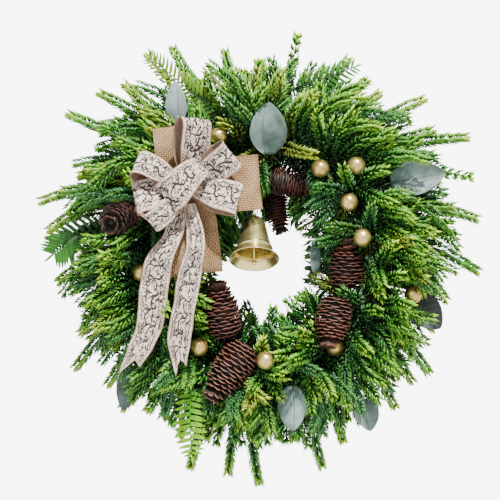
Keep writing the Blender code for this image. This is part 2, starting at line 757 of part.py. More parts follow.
def branchlet(path, swell=0.0, start=0.0):
    """A slim three-sided core from root to point. Every other band is raised to a whorl of needles."""
    total = sum((b - a).length for a, b in zip(path, path[1:]))
    first = max(start + 2 * MM, min(BARE, 0.3 * total))
    stops, raised = [start, first], [False]
    while stops[-1] + NEEDLE_BAND + PLAIN_BAND < total:
        stops += [stops[-1] + NEEDLE_BAND, stops[-1] + NEEDLE_BAND + PLAIN_BAND]
        raised += [True, False]
    points, rings = [], []
    twist = 0.0
    for i, s in enumerate(stops):
        place, way = place_on(path, s)
        u = way.cross(FRONT).normalized()
        v = u.cross(way).normalized()
        if i and not raised[i - 1]:
            twist += math.radians(60)
        thick = mix(CORE_ROOT, CORE_TIP, s / total) + swell
        for k in range(3):
            a = twist + math.radians(120 * k)
            points.append(place + (u * math.cos(a) + v * math.sin(a)) * thick)
        rings.append((way, u, v, twist))
    faces = [(2, 1, 0)]
    for i, needles in enumerate(raised):
        way, u, v, turned = rings[i]
        size = (NEEDLE + swell) * mix(1, 0.72, stops[i] / total)
        for k in range(3):
            a, b = 3 * i + k, 3 * i + (k + 1) % 3
            c, d = b + 3, a + 3
            if not needles:
                faces += [(a, b, d), (b, c, d)]
                continue
            turn = turned + math.radians(120 * k + 60)
            out = u * math.cos(turn) + v * math.sin(turn)
            lean = way * math.cos(NEEDLE_SLOPE) + out * math.sin(NEEDLE_SLOPE)
            points.append((points[a] + points[b] + points[c] + points[d]) / 4 + lean * size)
            end = len(points) - 1
            faces += [(a, b, end), (b, c, end), (c, d, end), (d, a, end)]
    last = 3 * (len(stops) - 1)
    points.append(place_on(path, total)[0] + rings[-1][0] * 1.5 * MM)
    for k in range(3):
        faces.append((last + k, last + (k + 1) % 3, len(points) - 1))
    return points, faces


def grows(x, z):
    """The way greenery grows at a place: straight out near the ring, weighed down at the rim."""
    r = math.hypot(x, z)
    weight = DROOP * smooth((r - DROOP_FROM) / (DROOP_TO - DROOP_FROM))
    return Vector((x / r, z / r - weight)).normalized()


def sector_middle(sector):
    return 90 + SECTOR * (sector + 0.5)


def bar_forward(sector):
    """How far forward the spray's stem has to lie to clear the vine."""
    ahead = VINE_RADIUS + BAR
    for _ in range(6):
        short = 0.0
        for i in range(13):
            angle = sector_middle(sector) + BAR_HALF * (i / 6 - 1)
            distance = RING_TREE.find_nearest(polar(angle, BAR_RADIUS, ahead))[3]
            short = max(short, BAR + 1.5 * GAP - distance)
        ahead += short
    return ahead


BAR_FORWARD = [bar_forward(n) for n in range(SPRAYS)]


def rooted(flat, ahead_at_tip):
    """A branchlet's path along flat points, from its root on the spray's stem to its tip."""
    angle = math.degrees(math.atan2(flat[0][1], flat[0][0]))
    sector = int(((angle - 90) % 360) / SECTOR)
    off = (angle - sector_middle(sector) + 180) % 360 - 180
    kept = min(max(off, 1.2 - BAR_HALF), BAR_HALF - 1.2)
    path = []
    for i, (x, z) in enumerate(flat):
        a, r = math.degrees(math.atan2(z, x)), math.hypot(x, z)
        share = smooth(1 - abs(r - BAR_RADIUS) / (22 * MM))
        ahead = mix(BAR_FORWARD[sector], ahead_at_tip, smooth(i / (len(flat) - 1)))
        path.append(polar(a + (kept - off) * share, r, ahead))
    return path, sector


def outward_path(angle, reach, ahead):
    """Follows the growth back from a tip to the ring."""
    a = math.radians(angle)
    x, z = reach * math.cos(a), reach * math.sin(a)
    flat = [(x, z)]
    step = 4 * MM
    while math.hypot(x, z) > BAR_RADIUS + step:
        way = grows(x, z)
        x, z = x - way.x * step, z - way.y * step
        flat.append((x, z))
    r = math.hypot(x, z)
    flat.append((x * BAR_RADIUS / r, z * BAR_RADIUS / r))
    return rooted(flat[::-1], ahead)


def inward_path(angle, reach, ahead, sag=6 * MM):
    """From the ring in towards the hole, sagging a little."""
    a = math.radians(angle)
    flat = []
    for i in range(9):
        t = i / 8
        r = mix(BAR_RADIUS, reach, t)
        flat.append((r * math.cos(a), r * math.sin(a) - sag * t * t))
    return rooted(flat, ahead)


# The tips seen round the rim: angle in degrees, reach in millimetres
RIM_TIPS = [
    (81, 231), (45, 232), (31, 245), (143, 247), (119, 240), (165, 235), (134, 238), (-91, 230),
    (19, 231), (11, 224), (-3, 223), (-12, 193), (-150, 223), (-174, 210), (113, 235), (178, 222),
    (-34, 208), (-74, 222), (-109, 227), (-127, 194), (-141, 205), (-158, 201), (100, 215),
    (64, 222), (-48, 205), (-99, 223), (-62, 187), (-133, 210), (-39, 199), (38, 223), (128, 228),
    (155, 205), (-80, 190), (-116, 209), (-22, 190), (72, 205), (55, 208), (90, 200), (-66, 205),
]
RIM_FORWARD = (-6, 8, 1, 14)
SHIFTS = [0, 7, -7, 13, -12]  # millimetres that a branchlet may be bent forward or back
TURNS = [0, 3, -3, 6, -6, 9, -9]  # degrees that an inner one may be turned


def candidates():
    """Each branchlet in the order in which they claim room, with the turns that it may take."""
    for n, (angle, reach) in enumerate(RIM_TIPS):
        yield outward_path, angle, reach * MM, RIM_FORWARD[n % 4] * MM, TURNS[:3]
    for n in range(SPRAYS):
        yield inward_path, sector_middle(n), draw.uniform(62, 70) * MM, 26 * MM, TURNS
    for n in range(14):
        angle, reach = 25 * n + draw.uniform(-4, 4), draw.uniform(172, 188) * MM
        yield outward_path, angle, reach, 26 * MM, TURNS
    for n in range(10):
        angle, reach = 15 + 36 * n + draw.uniform(-5, 5), draw.uniform(150, 160) * MM
        yield outward_path, angle, reach, 42 * MM, TURNS


def find_room(grow, angle, reach, ahead, turns, fixed, bar_trees, claimed):
    """The first bent or turned path that touches no other piece and no other branchlet."""
    for turn in turns:
        for bend in SHIFTS:
            path, sector = grow(angle + turn, reach, ahead + bend * MM)
            whole = BVHTree.FromPolygons(*branchlet(path, SPARE))
            beyond = BVHTree.FromPolygons(*branchlet(path, SPARE, NEAR_ROOT))
            others = fixed + bar_trees[:sector] + bar_trees[sector + 1 :]
            others += [full for s, full, _ in claimed if s != sector]
            mates = [part for s, _, part in claimed if s == sector]
            if any(whole.overlap(tree) for tree in others):
                continue
            if any(beyond.overlap(tree) for tree in mates):
                continue
            return path, sector
    return None, None


def nail_room():
    """The space behind the wreath where the nail and its wall are, kept free of greenery."""
    body = bmesh.new()
    bmesh.ops.create_cube(body, size=1)
    middle, size = Vector((0, 1, -5)) * MM, Vector((20, 10, 18)) * MM
    points = [Vector(a * b for a, b in zip(v.co, size)) + middle for v in body.verts]
    faces = [[v.index for v in f.verts] for f in body.faces]
    body.free()
    return BVHTree.FromPolygons(points, faces)


def make_sprays():
    solids = [vine_ring, hanger_loop, burlap_bow, ribbon_bow, bow_wire, bell, bell_wire, clapper]
    solids += cones + berries + leaves + ferns
    bars = []
    for n in range(SPRAYS):
        path = []
        for i in range(4):
            angle = sector_middle(n) + BAR_HALF * (2 * i / 3 - 1)
            path.append(polar(angle, BAR_RADIUS, BAR_FORWARD[n]))
        bars.append(tube(f"spray_{n + 1:02d}", path, BAR, NEEDLES, sides=6, origin=CENTRE))
    bpy.context.view_layer.update()
    fixed = [world_tree(obj, GAP) for obj in solids] + [nail_room()]
    bar_trees = [world_tree(bar, GAP) for bar in bars]
    claimed, parts = [], [[] for _ in range(SPRAYS)]
    for grow, angle, reach, ahead, turns in candidates():
        path, sector = find_room(grow, angle, reach, ahead, turns, fixed, bar_trees, claimed)
        if path is None:
            continue
        whole = BVHTree.FromPolygons(*branchlet(path))
        beyond = BVHTree.FromPolygons(*branchlet(path, 0.0, NEAR_ROOT))
        claimed.append((sector, whole, beyond))
        name = f"{bars[sector].name}_branchlet_{len(parts[sector])}"
        parts[sector].append(shape(name, *branchlet(path), NEEDLES))
    for bar, grown in zip(bars, parts):
        fuse(bar, grown)


make_sprays()
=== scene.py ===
import json
import math
import random
from functools import partialmethod

import bpy
import numpy as np
from mathutils import Matrix, Vector
from mathutils.bvhtree import BVHTree
from mathutils.kdtree import KDTree


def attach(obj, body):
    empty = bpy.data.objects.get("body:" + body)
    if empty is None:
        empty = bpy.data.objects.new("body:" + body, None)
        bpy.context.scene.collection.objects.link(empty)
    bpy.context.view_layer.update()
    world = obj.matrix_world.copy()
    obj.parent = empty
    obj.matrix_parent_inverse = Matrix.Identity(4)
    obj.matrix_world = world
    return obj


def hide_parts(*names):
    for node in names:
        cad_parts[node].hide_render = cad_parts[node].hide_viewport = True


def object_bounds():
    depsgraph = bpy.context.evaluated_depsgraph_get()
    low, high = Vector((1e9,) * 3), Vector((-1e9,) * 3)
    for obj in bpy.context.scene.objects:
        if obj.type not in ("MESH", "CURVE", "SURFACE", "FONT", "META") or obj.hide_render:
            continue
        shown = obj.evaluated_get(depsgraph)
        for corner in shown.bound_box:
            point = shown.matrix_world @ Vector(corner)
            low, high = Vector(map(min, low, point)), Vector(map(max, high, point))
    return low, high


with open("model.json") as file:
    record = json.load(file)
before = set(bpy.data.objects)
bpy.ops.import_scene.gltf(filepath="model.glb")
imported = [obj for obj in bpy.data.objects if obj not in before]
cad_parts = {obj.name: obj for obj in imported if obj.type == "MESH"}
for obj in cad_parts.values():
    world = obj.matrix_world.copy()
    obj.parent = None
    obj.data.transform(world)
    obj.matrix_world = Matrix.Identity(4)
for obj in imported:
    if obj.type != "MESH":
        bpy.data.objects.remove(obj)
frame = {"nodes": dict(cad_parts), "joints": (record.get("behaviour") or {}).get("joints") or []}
cad_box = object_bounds()

# Vine ring: three strands of dried vine, twisted together, bent round and tied shut.
# It is hidden under the greenery, and the stem of every spray, cone, leaf and berry is wired to it.
MM = 0.001
FRONT = np.array([0.0, -1.0, 0.0])
UP = np.array([0.0, 0.0, 1.0])
PIXEL = 1.05 * MM  # what one pixel of the photograph spans on the wreath
CENTRE_PX, CENTRE_PY = 262, 258  # the wreath's centre in the photograph
RING_DROP, RING_Y = 138 * MM, -9 * MM
RING_RADIUS = 115 * MM
CENTRE = np.array([0.0, RING_Y, -RING_DROP])
STRAND_RADIUS, STRAND_OFFSET = 4.9 * MM, 5.2 * MM
RING_STEPS, STRANDS = 240, 3
TWISTS = 5  # whole turns that each strand makes on its way round


def spot(px, py, forward=0.0):
    """The place seen at a pixel, this many millimetres in front of the ring's plane."""
    across, down = (px - CENTRE_PX) * PIXEL, (py - CENTRE_PY) * PIXEL
    return np.array([across, RING_Y - forward * MM, -RING_DROP - down])


def polar(angle, radius, forward=0.0):
    """The place at an angle (degrees) and radius round the wreath's centre, this far forward."""
    a = np.radians(angle)
    place = np.stack(np.broadcast_arrays(radius * np.cos(a), -forward, radius * np.sin(a)), -1)
    return CENTRE + place


def polar_of(place):
    """Angle in degrees and radius of a place, round the wreath's centre."""
    x, z = place[0] - CENTRE[0], place[2] - CENTRE[2]
    return math.degrees(math.atan2(z, x)), math.hypot(x, z)


def smooth(t):
    t = np.clip(t, 0.0, 1.0)
    return t * t * (3 - 2 * t)


def mix(a, b, t):
    return a + (b - a) * t


def unit(v):
    return v / np.maximum(np.linalg.norm(v, axis=-1, keepdims=True), 1e-12)


def lengths_along(path):
    """How far along a path each of its points is."""
    return np.concatenate([[0], np.cumsum(np.linalg.norm(np.diff(path, axis=0), axis=1))])


class Heap:
    """Points, faces and the marks of each point, gathered into one mesh."""

    def __init__(self):
        self.points, self.faces, self.marks, self.count = [], [], {}, 0

    def add(self, points, faces, **marks):
        points = np.asarray(points, float).reshape(-1, 3)
        for some in faces:
            self.faces.append(np.asarray(some, int) + self.count)
        for name, value in marks.items():
            self.marks.setdefault(name, []).append(np.broadcast_to(value, len(points)))
        self.points.append(points)
        self.count += len(points)

    def piece(self, name, finish, slot, nodes, body="root"):
        """Makes the object, on its body, standing for the named nodes of the part."""
        mesh = bpy.data.meshes.new(name)
        points = np.concatenate(self.points).astype(np.float32)
        corners = np.concatenate([some.ravel() for some in self.faces]).astype(np.int32)
        sizes = np.concatenate([np.full(len(some), some.shape[1]) for some in self.faces])
        mesh.vertices.add(len(points))
        mesh.vertices.foreach_set("co", points.ravel())
        mesh.loops.add(len(corners))
        mesh.loops.foreach_set("vertex_index", corners)
        mesh.polygons.add(len(sizes))
        mesh.polygons.foreach_set("loop_start", (np.cumsum(sizes) - sizes).astype(np.int32))
        for mark, values in self.marks.items():
            kept = mesh.attributes.new(mark, "FLOAT", "POINT")
            kept.data.foreach_set("value", np.concatenate(values).astype(np.float32))
        mesh.update(calc_edges=True)
        mesh.shade_smooth()
        mesh.materials.append(finish)
        made = bpy.data.objects.new(name, mesh)
        bpy.context.scene.collection.objects.link(made)
        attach(made, body)
        if nodes:
            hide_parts(*nodes)
        return made


def rod(path, radius, sides=8, closed=False):
    """A round rod along a path, with filled ends: its points and faces."""
    path = np.asarray(path, float)
    n = len(path)
    way = np.roll(path, -1, 0) - np.roll(path, 1, 0) if closed else np.gradient(path, axis=0)
    way = unit(way)
    u = np.cross(way[0], FRONT if abs(way[0] @ FRONT) < 0.9 else UP)
    across = []
    for w in way:
        u = unit(u - w * (u @ w))
        across.append(u)
    across = np.array(across)
    over = np.cross(way, across)
    turn = 2 * np.pi * np.arange(sides) / sides
    rings = across[:, None] * np.cos(turn)[:, None] + over[:, None] * np.sin(turn)[:, None]
    size = np.broadcast_to(radius, n)[:, None, None]
    points = (path[:, None] + rings * size).reshape(-1, 3)
    row = np.arange(n if closed else n - 1)[:, None]
    row, ahead = row * sides, (row + 1) % n * sides
    j = np.arange(sides)
    k = (j + 1) % sides
    faces = [np.stack([row + j, row + k, ahead + k, ahead + j], -1).reshape(-1, 4)]
    if not closed:
        points = np.concatenate([points, path[:1], path[-1:]])
        last = (n - 1) * sides
        faces.append(np.stack([np.full(sides, n * sides), k, j], -1))
        faces.append(np.stack([np.full(sides, n * sides + 1), last + j, last + k], -1))
    return points, faces


class Shade:
    """A socket among a material's nodes. Arithmetic on it adds Math nodes."""

    def __init__(self, tree, socket=None):
        self.tree, self.socket = tree, socket

    def node(self, kind, settings=None, values=None, out=0):
        """Any node: its settings first, then the values or links of its sockets."""
        made = self.tree.nodes.new(kind)
        for name, value in (settings or {}).items():
            if name != "stops":
                setattr(made, name, value)
                continue
            stops = made.color_ramp.elements
            for stop, (place, colour) in ((stops[0], value[0]), (stops[1], value[-1])):
                stop.position, stop.color = place, (*colour, 1)
            for place, colour in value[1:-1]:
                stops.new(place).color = (*colour, 1)
        for name, value in (values or {}).items():
            socket = made.inputs[name]
            if isinstance(value, Shade):
                self.tree.links.new(value.socket, socket)
            elif isinstance(value, tuple) and len(value) < len(socket.default_value):
                socket.default_value = (*value, 1)
            else:
                socket.default_value = value
        return Shade(self.tree, made.outputs[out])

    def maths(self, operation, *others):
        return self.node("ShaderNodeMath", {"operation": operation}, dict(enumerate((self, *others))))

    __add__ = __radd__ = partialmethod(maths, "ADD")
    __mul__ = __rmul__ = partialmethod(maths, "MULTIPLY")
    __sub__ = partialmethod(maths, "SUBTRACT")
    __truediv__ = partialmethod(maths, "DIVIDE")

    def __rsub__(self, other):
        return self.node("ShaderNodeMath", {"operation": "SUBTRACT"}, {0: other, 1: self})

    def between(self, low, high):
        """0 below low, 1 above high, and a soft step in between."""
        sockets = {"Value": self, "From Min": low, "From Max": high}
        return self.node("ShaderNodeMapRange", {"interpolation_type": "SMOOTHSTEP"}, sockets)

    def mark(self, name):
        """A mark that the mesh carries."""
        return self.node("ShaderNodeAttribute", {"attribute_name": name}, {}, "Fac")

    def place(self, stretch=(1.0, 1.0, 1.0)):
        """Where on the piece a point is, in metres, stretched."""
        where = self.node("ShaderNodeTexCoord", {}, {}, "Object")
        return self.node("ShaderNodeVectorMath", {"operation": "MULTIPLY"}, {0: where, 1: stretch})

    def noise(self, scale, detail, where=None):
        sockets = {"Vector": where or self.place(), "Scale": scale, "Detail": detail, "Roughness": 0.55}
        return self.node("ShaderNodeTexNoise", {}, sockets)

    def ramp(self, *stops):
        return self.node("ShaderNodeValToRGB", {"stops": stops}, {"Fac": self})

    def tint(self, one, other, share):
        """One colour turning into the other."""
        return self.node("ShaderNodeMix", {"data_type": "RGBA"}, {0: share, 6: one, 7: other}, 2)


def surface(name, paint, relief=None, **fixed):
    """A material. Paint gives what varies over it, and fixed what is the same all over."""
    material = bpy.data.materials.new(name)
    material.use_nodes = True
    tree = material.node_tree
    shader = tree.nodes["Principled BSDF"]
    for socket, value in fixed.items():
        shader.inputs[socket.replace("_", " ")].default_value = value
    varied = paint(Shade(tree))
    height = varied.pop("height", None)
    for socket, value in varied.items():
        tree.links.new(value.socket, shader.inputs[socket])
    if height:
        sockets = {"Height": height, "Distance": relief, "Strength": 1.0}
        bump = height.node("ShaderNodeBump", {}, sockets)
        tree.links.new(bump.socket, shader.inputs["Normal"])
    return material


def bark(shade):
    fibre = shade.noise(900, 5, shade.place((1.0, 0.25, 1.0)))
    patch = shade.noise(60, 2)
    colour = (fibre * 0.6 + patch * 0.4).ramp(
        (0.3, (0.045, 0.024, 0.013)), (0.52, (0.15, 0.085, 0.045)), (0.75, (0.32, 0.21, 0.12))
    )
    return {"Base Color": colour, "height": fibre}


VINE_BARK = surface("vine_bark", bark, 0.5 * MM, Roughness=0.85)


def make_vine_ring():
    heap = Heap()
    turn = 2 * np.pi * np.arange(RING_STEPS) / RING_STEPS
    for strand in range(STRANDS):
        lean = TWISTS * turn + 2 * np.pi * strand / STRANDS
        out, forward = STRAND_OFFSET * np.sin(lean), STRAND_OFFSET * np.cos(lean)
        knots = 1 + 0.10 * np.sin(5 * turn + 2 * strand) * np.sin(13 * turn + strand)
        path = polar(np.degrees(turn), RING_RADIUS + out, forward)
        heap.add(*rod(path, STRAND_RADIUS * knots, 12, closed=True))
    heap.piece("vine_ring_bark", VINE_BARK, "vine", ["vine_ring"])


make_vine_ring()

# Hanger loop: a soft iron wire in green enamel, one turn round the vine and an eye for the nail.
# The same wire makes the bow's shank and the loop that the bell swings on. They keep the part's own solids.


def enamel(shade):
    worn = shade.noise(700, 4).between(0.62, 0.75)
    colour = shade.tint((0.035, 0.075, 0.03), (0.20, 0.19, 0.16), worn)
    return {"Base Color": colour, "Roughness": 0.38 + worn * 0.2, "height": shade.noise(1500, 2)}


GREEN_WIRE = surface("green_wire_enamel", enamel, 0.05 * MM, Metallic=0.35)

for wire in ("hanger_loop", "bow_wire", "bell_wire"):
    solid = frame["nodes"][wire]
    solid.data.materials.clear()
    solid.data.materials.append(GREEN_WIRE)
    solid.data.shade_smooth()

# Greenery sprays: moulded plastic branchlets, each a slim stem with stubby needles all round it.
# Eighteen bundles are wired to the front of the vine, and their stems hide the wiring.
SPRAYS = 18
SECTOR = 360 / SPRAYS
BAR_RADIUS = RING_RADIUS + 2 * MM
BAR_FORWARD = 13 * MM
CORE_ROOT, CORE_TIP = 1.5 * MM, 0.9 * MM
NEEDLE, NEEDLE_WIDE, NEEDLE_THICK = 11.5 * MM, 2.5 * MM, 0.8 * MM
WHORL_GAP = 4.0 * MM
WHORL = np.radians([0, 180, 55, 125, -90])  # where the needles of a whorl stand, from one side and up
BARE = 3 * MM  # a branchlet's length without needles at its root
LEAN_ROOT, LEAN_TIP = 48, 35  # degrees between a needle and its branchlet
SIDE_GAP = 56 * MM  # between the side branchlets on one branchlet
DROOP, DROOP_FROM, DROOP_TO = 0.65, 120 * MM, 215 * MM
STEP, SAG = 4 * MM, 6 * MM  # between a path's points, and how far an inward one sags
MOST_POINTS = 60
TWIG_LEAST, TWIG_MOST = 54 * MM, 206 * MM  # where a side branchlet's tip may be, out from the centre
TURNS = (0, 3, -3, 6, -6, 10, -10, 15, -15)  # degrees and millimetres by which a path tries to pass others
BENDS = (0, -7, 7, -14, -21)
SQUARE, LAYER = 6 * MM, 17 * MM  # the side and depth of the cells that branchlets take up
OVER_MOST = 0.12  # the share of a branchlet that may pass in front of what has to show
CLEAR = 1.6 * MM  # kept between a branchlet's stem and any other piece
NEAR_TIP = 9 * MM  # how far a tip of the part's own may be from the stated one
LEAST, LEAST_RIGHT = 128 * MM, 66 * MM  # least reach at the rim, and in the hole's upper right
BACK, FOREMOST = cad_box[1].y, cad_box[0].y
draw = random.Random(24)

USUAL_REACH = 212  # millimetres, the reach that counts as full
# How far the close greenery reaches, every 15 degrees from the right and up, in millimetres
FULL = [201, 209, 219, 217, 216, 210, 199, 209, 219, 224, 216, 210,
        218, 202, 199, 204, 199, 200, 192, 205, 195, 200, 189, 190]
# The tips seen beyond it: angle in degrees, reach in millimetres
RIM_TIPS = [
    (81, 231), (45, 232), (31, 245), (143, 247), (119, 240), (165, 235), (134, 238), (-91, 230),
    (19, 231), (11, 224), (-3, 223), (-12, 193), (-150, 223), (-174, 210), (113, 235), (178, 222),
    (-34, 208), (-74, 222), (-109, 227), (-127, 194), (-141, 205), (-158, 201), (100, 215),
    (64, 222), (-48, 205), (-99, 223), (-62, 187), (-133, 210), (-39, 199), (38, 223), (128, 228),
    (155, 205), (-80, 190), (-116, 209), (-22, 190), (72, 205), (55, 208), (90, 200), (-66, 205),
]
RIM_FORWARD = (-6, 8, 1, 14)  # millimetres, taken in turn where the part has no tip
OPEN_TIPS = (0, 4, 8)  # the ones with few needles, broad as small leaves
# The tips seen behind the bell and at the right, which reach furthest into the hole
HOLE_TIPS = [
    (112, 42), (122, 38), (131, 35), (139, 37), (148, 36), (156, 42), (165, 46), (175, 52), (94, 50),
    (-3, 52), (8, 55), (-14, 52), (-26, 53), (-36, 54), (99, 48), (105, 46), (117, 44), (127, 40),
    (135, 39), (143, 40), (152, 43), (160, 47),
]
HOLE_FORWARD = (2, 12, 7)


def triangles(names, turns=((None, 0),)):
    """The part's own solids as points and triangles, also turned about X where they swing."""
    points, faces = [], []
    for name in names:
        mesh = frame["nodes"][name].data
        mesh.calc_loop_triangles()
        for pivot, degrees in turns:
            start = len(points)
            move = Matrix.Identity(4)
            if pivot is not None:
                there = Matrix.Translation(pivot)
                move = there @ Matrix.Rotation(math.radians(degrees), 4, "X") @ there.inverted()
            points += [move @ v.co for v in mesh.vertices]
            faces += [[start + i for i in t.vertices] for t in mesh.loop_triangles]
    return points, faces


def tree_of(*parts):
    points, faces = [], []
    for some_points, some_faces in parts:
        faces += [[len(points) + i for i in face] for face in some_faces]
        points += some_points
    return BVHTree.FromPolygons(points, faces)


NODES = frame["nodes"]
joint = {j["name"]: j for j in frame["joints"]}["bell_swing"]
SWING = [(Vector(joint["pos_m"]), d) for d in np.linspace(*joint["range_deg"], 6)]
STILL = [n for n in NODES if not n.startswith(("spray", "vine", "bell", "clapper"))] + ["bell_wire"]
# A box round the nail, which branchlets keep out of
NAIL_ROOM = ([Vector((x, y, z)) for x in (-0.01, 0.01) for y in (-0.004, 0.006) for z in (-0.014, 0.004)],
             [(0, 1, 3, 2), (4, 6, 7, 5), (0, 4, 5, 1), (2, 3, 7, 6), (0, 2, 6, 4), (1, 5, 7, 3)])
OTHERS = tree_of(triangles(STILL), triangles(["bell"], SWING), NAIL_ROOM)
# What has to show is kept clear of branchlets, all but three leaves and the deepest berry
COVERED = ("berry_11", "leaf_4", "leaf_6", "leaf_7")
SHOWN = [n for n in STILL if n.startswith(("leaf", "berry", "burlap", "ribbon", "fern")) and n not in COVERED]
IN_VIEW = tree_of(triangles(SHOWN + [f"cone_{n}" for n in range(1, 8)] + ["bell"]))
OWN_POINTS = [v.co.copy() for n in NODES if n.startswith("spray") for v in NODES[n].data.vertices]
SPRAY_POINTS = KDTree(len(OWN_POINTS))
for i, point in enumerate(OWN_POINTS):
    SPRAY_POINTS.insert((point.x, 0, point.z), i)
SPRAY_POINTS.balance()


def grows(x, z, heavy=1.0):
    """The way greenery grows at a place: straight out near the ring, weighed down at the rim."""
    r = math.hypot(x, z)
    weight = heavy * DROOP * smooth((r - DROOP_FROM) / (DROOP_TO - DROOP_FROM))
    weight *= 1 - 0.75 * max(z / r, 0) ** 2
    return unit(np.array([x / r, z / r - weight]))


def sway(angle, reach=0.0):
    """A number between -1 and 1 that differs from one branchlet to the next."""
    return math.sin(40 * angle + 900 * reach)


def outward(angle, reach, ahead, arch):
    """A branchlet's path from the ring to its tip, following the growth back from the tip."""
    a = math.radians(angle)
    flat = [np.array([math.cos(a), math.sin(a)]) * reach]
    heavy = mix(0.9, 2.2, smooth((ahead - 10 * MM) / (40 * MM)))
    while np.linalg.norm(flat[-1]) > BAR_RADIUS + STEP and len(flat) < MOST_POINTS:
        flat.append(flat[-1] - grows(*flat[-1], heavy) * STEP)
    flat.append(flat[-1] * BAR_RADIUS / np.linalg.norm(flat[-1]))
    x, z = np.array(flat[::-1]).T
    t = np.linspace(0, 1, len(flat))
    swing = np.radians(6 * smooth(ahead / (30 * MM)) * sway(angle, reach)) * np.sin(np.pi * t)
    x, z = x * np.cos(swing) - z * np.sin(swing), x * np.sin(swing) + z * np.cos(swing)
    forward = mix(BAR_FORWARD, ahead, smooth(t)) + arch * np.sin(np.pi * np.minimum(1, 1.15 * t))
    return CENTRE + np.stack([x, -forward, z], 1)


def inward(angle, reach, ahead, arch):
    """A branchlet's path from the ring in towards the hole, swung sideways and sagging a little."""
    t = np.linspace(0, 1, 14)
    forward = mix(BAR_FORWARD, ahead, smooth(t)) + arch * np.sin(np.pi * t)
    path = polar(angle + 17 * sway(angle, reach) * t**1.5, mix(BAR_RADIUS, reach, t), forward)
    path[:, 2] -= SAG * t * t
    return path


def around(angle, reach, ahead, arch):
    """A branchlet's path that bends over and runs along the ring, in front of the wiring."""
    t = np.linspace(0, 1, 16)
    forward = mix(BAR_FORWARD, ahead, smooth(t)) + arch * np.sin(np.pi * t)
    sweep = math.copysign(34, sway(angle))
    return polar(angle + sweep * t, mix(BAR_RADIUS, reach, t**1.3), forward)


def kept_tip(angle, reach):
    """The part's own tip near the stated one: its angle, reach and how far forward it is."""
    a = math.radians(angle)
    near = SPRAY_POINTS.find_range((reach * math.cos(a), 0, CENTRE[2] + reach * math.sin(a)), NEAR_TIP)
    if not near:
        return angle, reach, None
    tip = max((OWN_POINTS[i] for _, i, _ in near), key=lambda p: polar_of(p)[1])
    return *polar_of(tip), RING_Y - tip.y


def full(angle):
    """The greenery's reach at this angle, as a share of its usual reach."""
    return float(np.interp(angle % 360, np.arange(0, 361, 15), FULL + FULL[:1])) / USUAL_REACH


def branchlets():
    """Each branchlet in the order in which they claim room: its way, angle, reach, tip and arch."""
    for n, (angle, reach) in enumerate(RIM_TIPS):
        angle, reach, ahead = kept_tip(angle, reach * MM)
        yield outward, angle, reach, RIM_FORWARD[n % 4] * MM if ahead is None else ahead, 0.0, 1.0
    for n, (angle, reach) in enumerate(HOLE_TIPS):
        yield inward, angle, reach * MM, HOLE_FORWARD[n % 3] * MM, 0.0, 1.0
    # How many go which way, the spans of reach, tip and arch in millimetres, and how crowded they may be
    layers = (
        (outward, 46, (150, 192), (46, 62), (8, 14), 0.5),
        (outward, 80, (162, 204), (30, 48), (6, 14), 0.6),
        (outward, 110, (172, 208), (12, 32), (4, 12), 0.8),
        (outward, 110, (180, 210), (-4, 14), (0, 6), 0.9),
        (inward, 54, (55, 64), (-4, 12), (0, 4), 0.9),
        (inward, 54, (58, 76), (12, 32), (2, 10), 0.7),
        (inward, 46, (72, 96), (34, 54), (4, 10), 0.7),
        (outward, 116, (146, 202), (-7, 2), (0, 0), 1.0),
        (outward, 100, (126, 172), (-4, 8), (0, 3), 1.0),
        (inward, 100, (66, 98), (-6, 4), (0, 2), 1.0),
        (around, 80, (80, 160), (-6, 4), (0, 3), 1.0),
        (around, 30, (98, 140), (4, 18), (2, 8), 1.0),
        (outward, 50, (126, 150), (16, 36), (6, 14), 0.9),
        (inward, 50, (84, 104), (14, 40), (4, 10), 0.9),
    )
    for grow, count, reach, ahead, arch, most in layers:
        first = draw.uniform(0, 360)
        for n in range(count):
            angle = first + 360 * (n + draw.uniform(-0.4, 0.4)) / count
            long, *rest = (draw.uniform(*span) * MM for span in (reach, ahead, arch))
            if grow is outward:
                long = max(long * full(angle), LEAST)
            elif 30 < angle % 360 < 75:
                long = max(long, LEAST_RIGHT)
            yield grow, angle, long, *rest, most


def covers(path):
    """How much of a path's outer part passes in front of what has to show."""
    outer = path[len(path) // 3 :]
    side = unit(np.cross(outer[-1] - outer[0], FRONT)) * 4 * MM
    starts = [Vector(p + off) for p in outer for off in (side, 0, -side)]
    return sum(IN_VIEW.ray_cast(start, Vector(-FRONT))[0] is not None for start in starts) / len(starts)


def clear(path):
    """Whether a path keeps away from the other pieces."""
    return min(OTHERS.find_nearest(Vector(p))[3] for p in path) > CLEAR


claimed = set()  # the squares, seen from the front, that branchlets at a depth have taken


def squares(path):
    """The squares under a path's outer part, at its depth."""
    outer = path[len(path) * 2 // 5 :]
    layer = int((RING_Y - outer[-1][1]) / LAYER)
    return {(*np.floor(p[[0, 2]] / SQUARE).astype(int), layer) for p in outer}


def claim(path):
    """Takes a path's squares and the ones around them."""
    claimed.update((x + i, z + j, d) for x, z, d in squares(path) for i in (-1, 0, 1) for j in (-1, 0, 1))


def crowding(path):
    under = squares(path)
    return len(under & claimed) / len(under)


def find_room(grow, angle, reach, ahead, arch, most=1.0):
    """A path that is clear of the other pieces and covers little of what has to show: turned or bent, and
    little crowded.
    """
    for bend in BENDS:
        paths = [grow(angle + turn, reach, ahead + bend * MM, arch) for turn in TURNS]
        if most < 1:
            paths.sort(key=crowding)
        for path in paths:
            inside = path[:, 1].max() <= BACK - 2 * MM
            if inside and crowding(path) <= most and clear(path[2:]) and covers(path) < OVER_MOST:
                claim(path)
                return path
    return None


def resampled(path, stops):
    """Places on the path at these lengths from its root, and its direction there."""
    lengths = lengths_along(path)
    places = np.stack([np.interp(stops, lengths, path[:, k]) for k in range(3)], 1)
    ways = np.stack([np.interp(stops, lengths, np.gradient(path[:, k])) for k in range(3)], 1)
    return places, unit(ways)


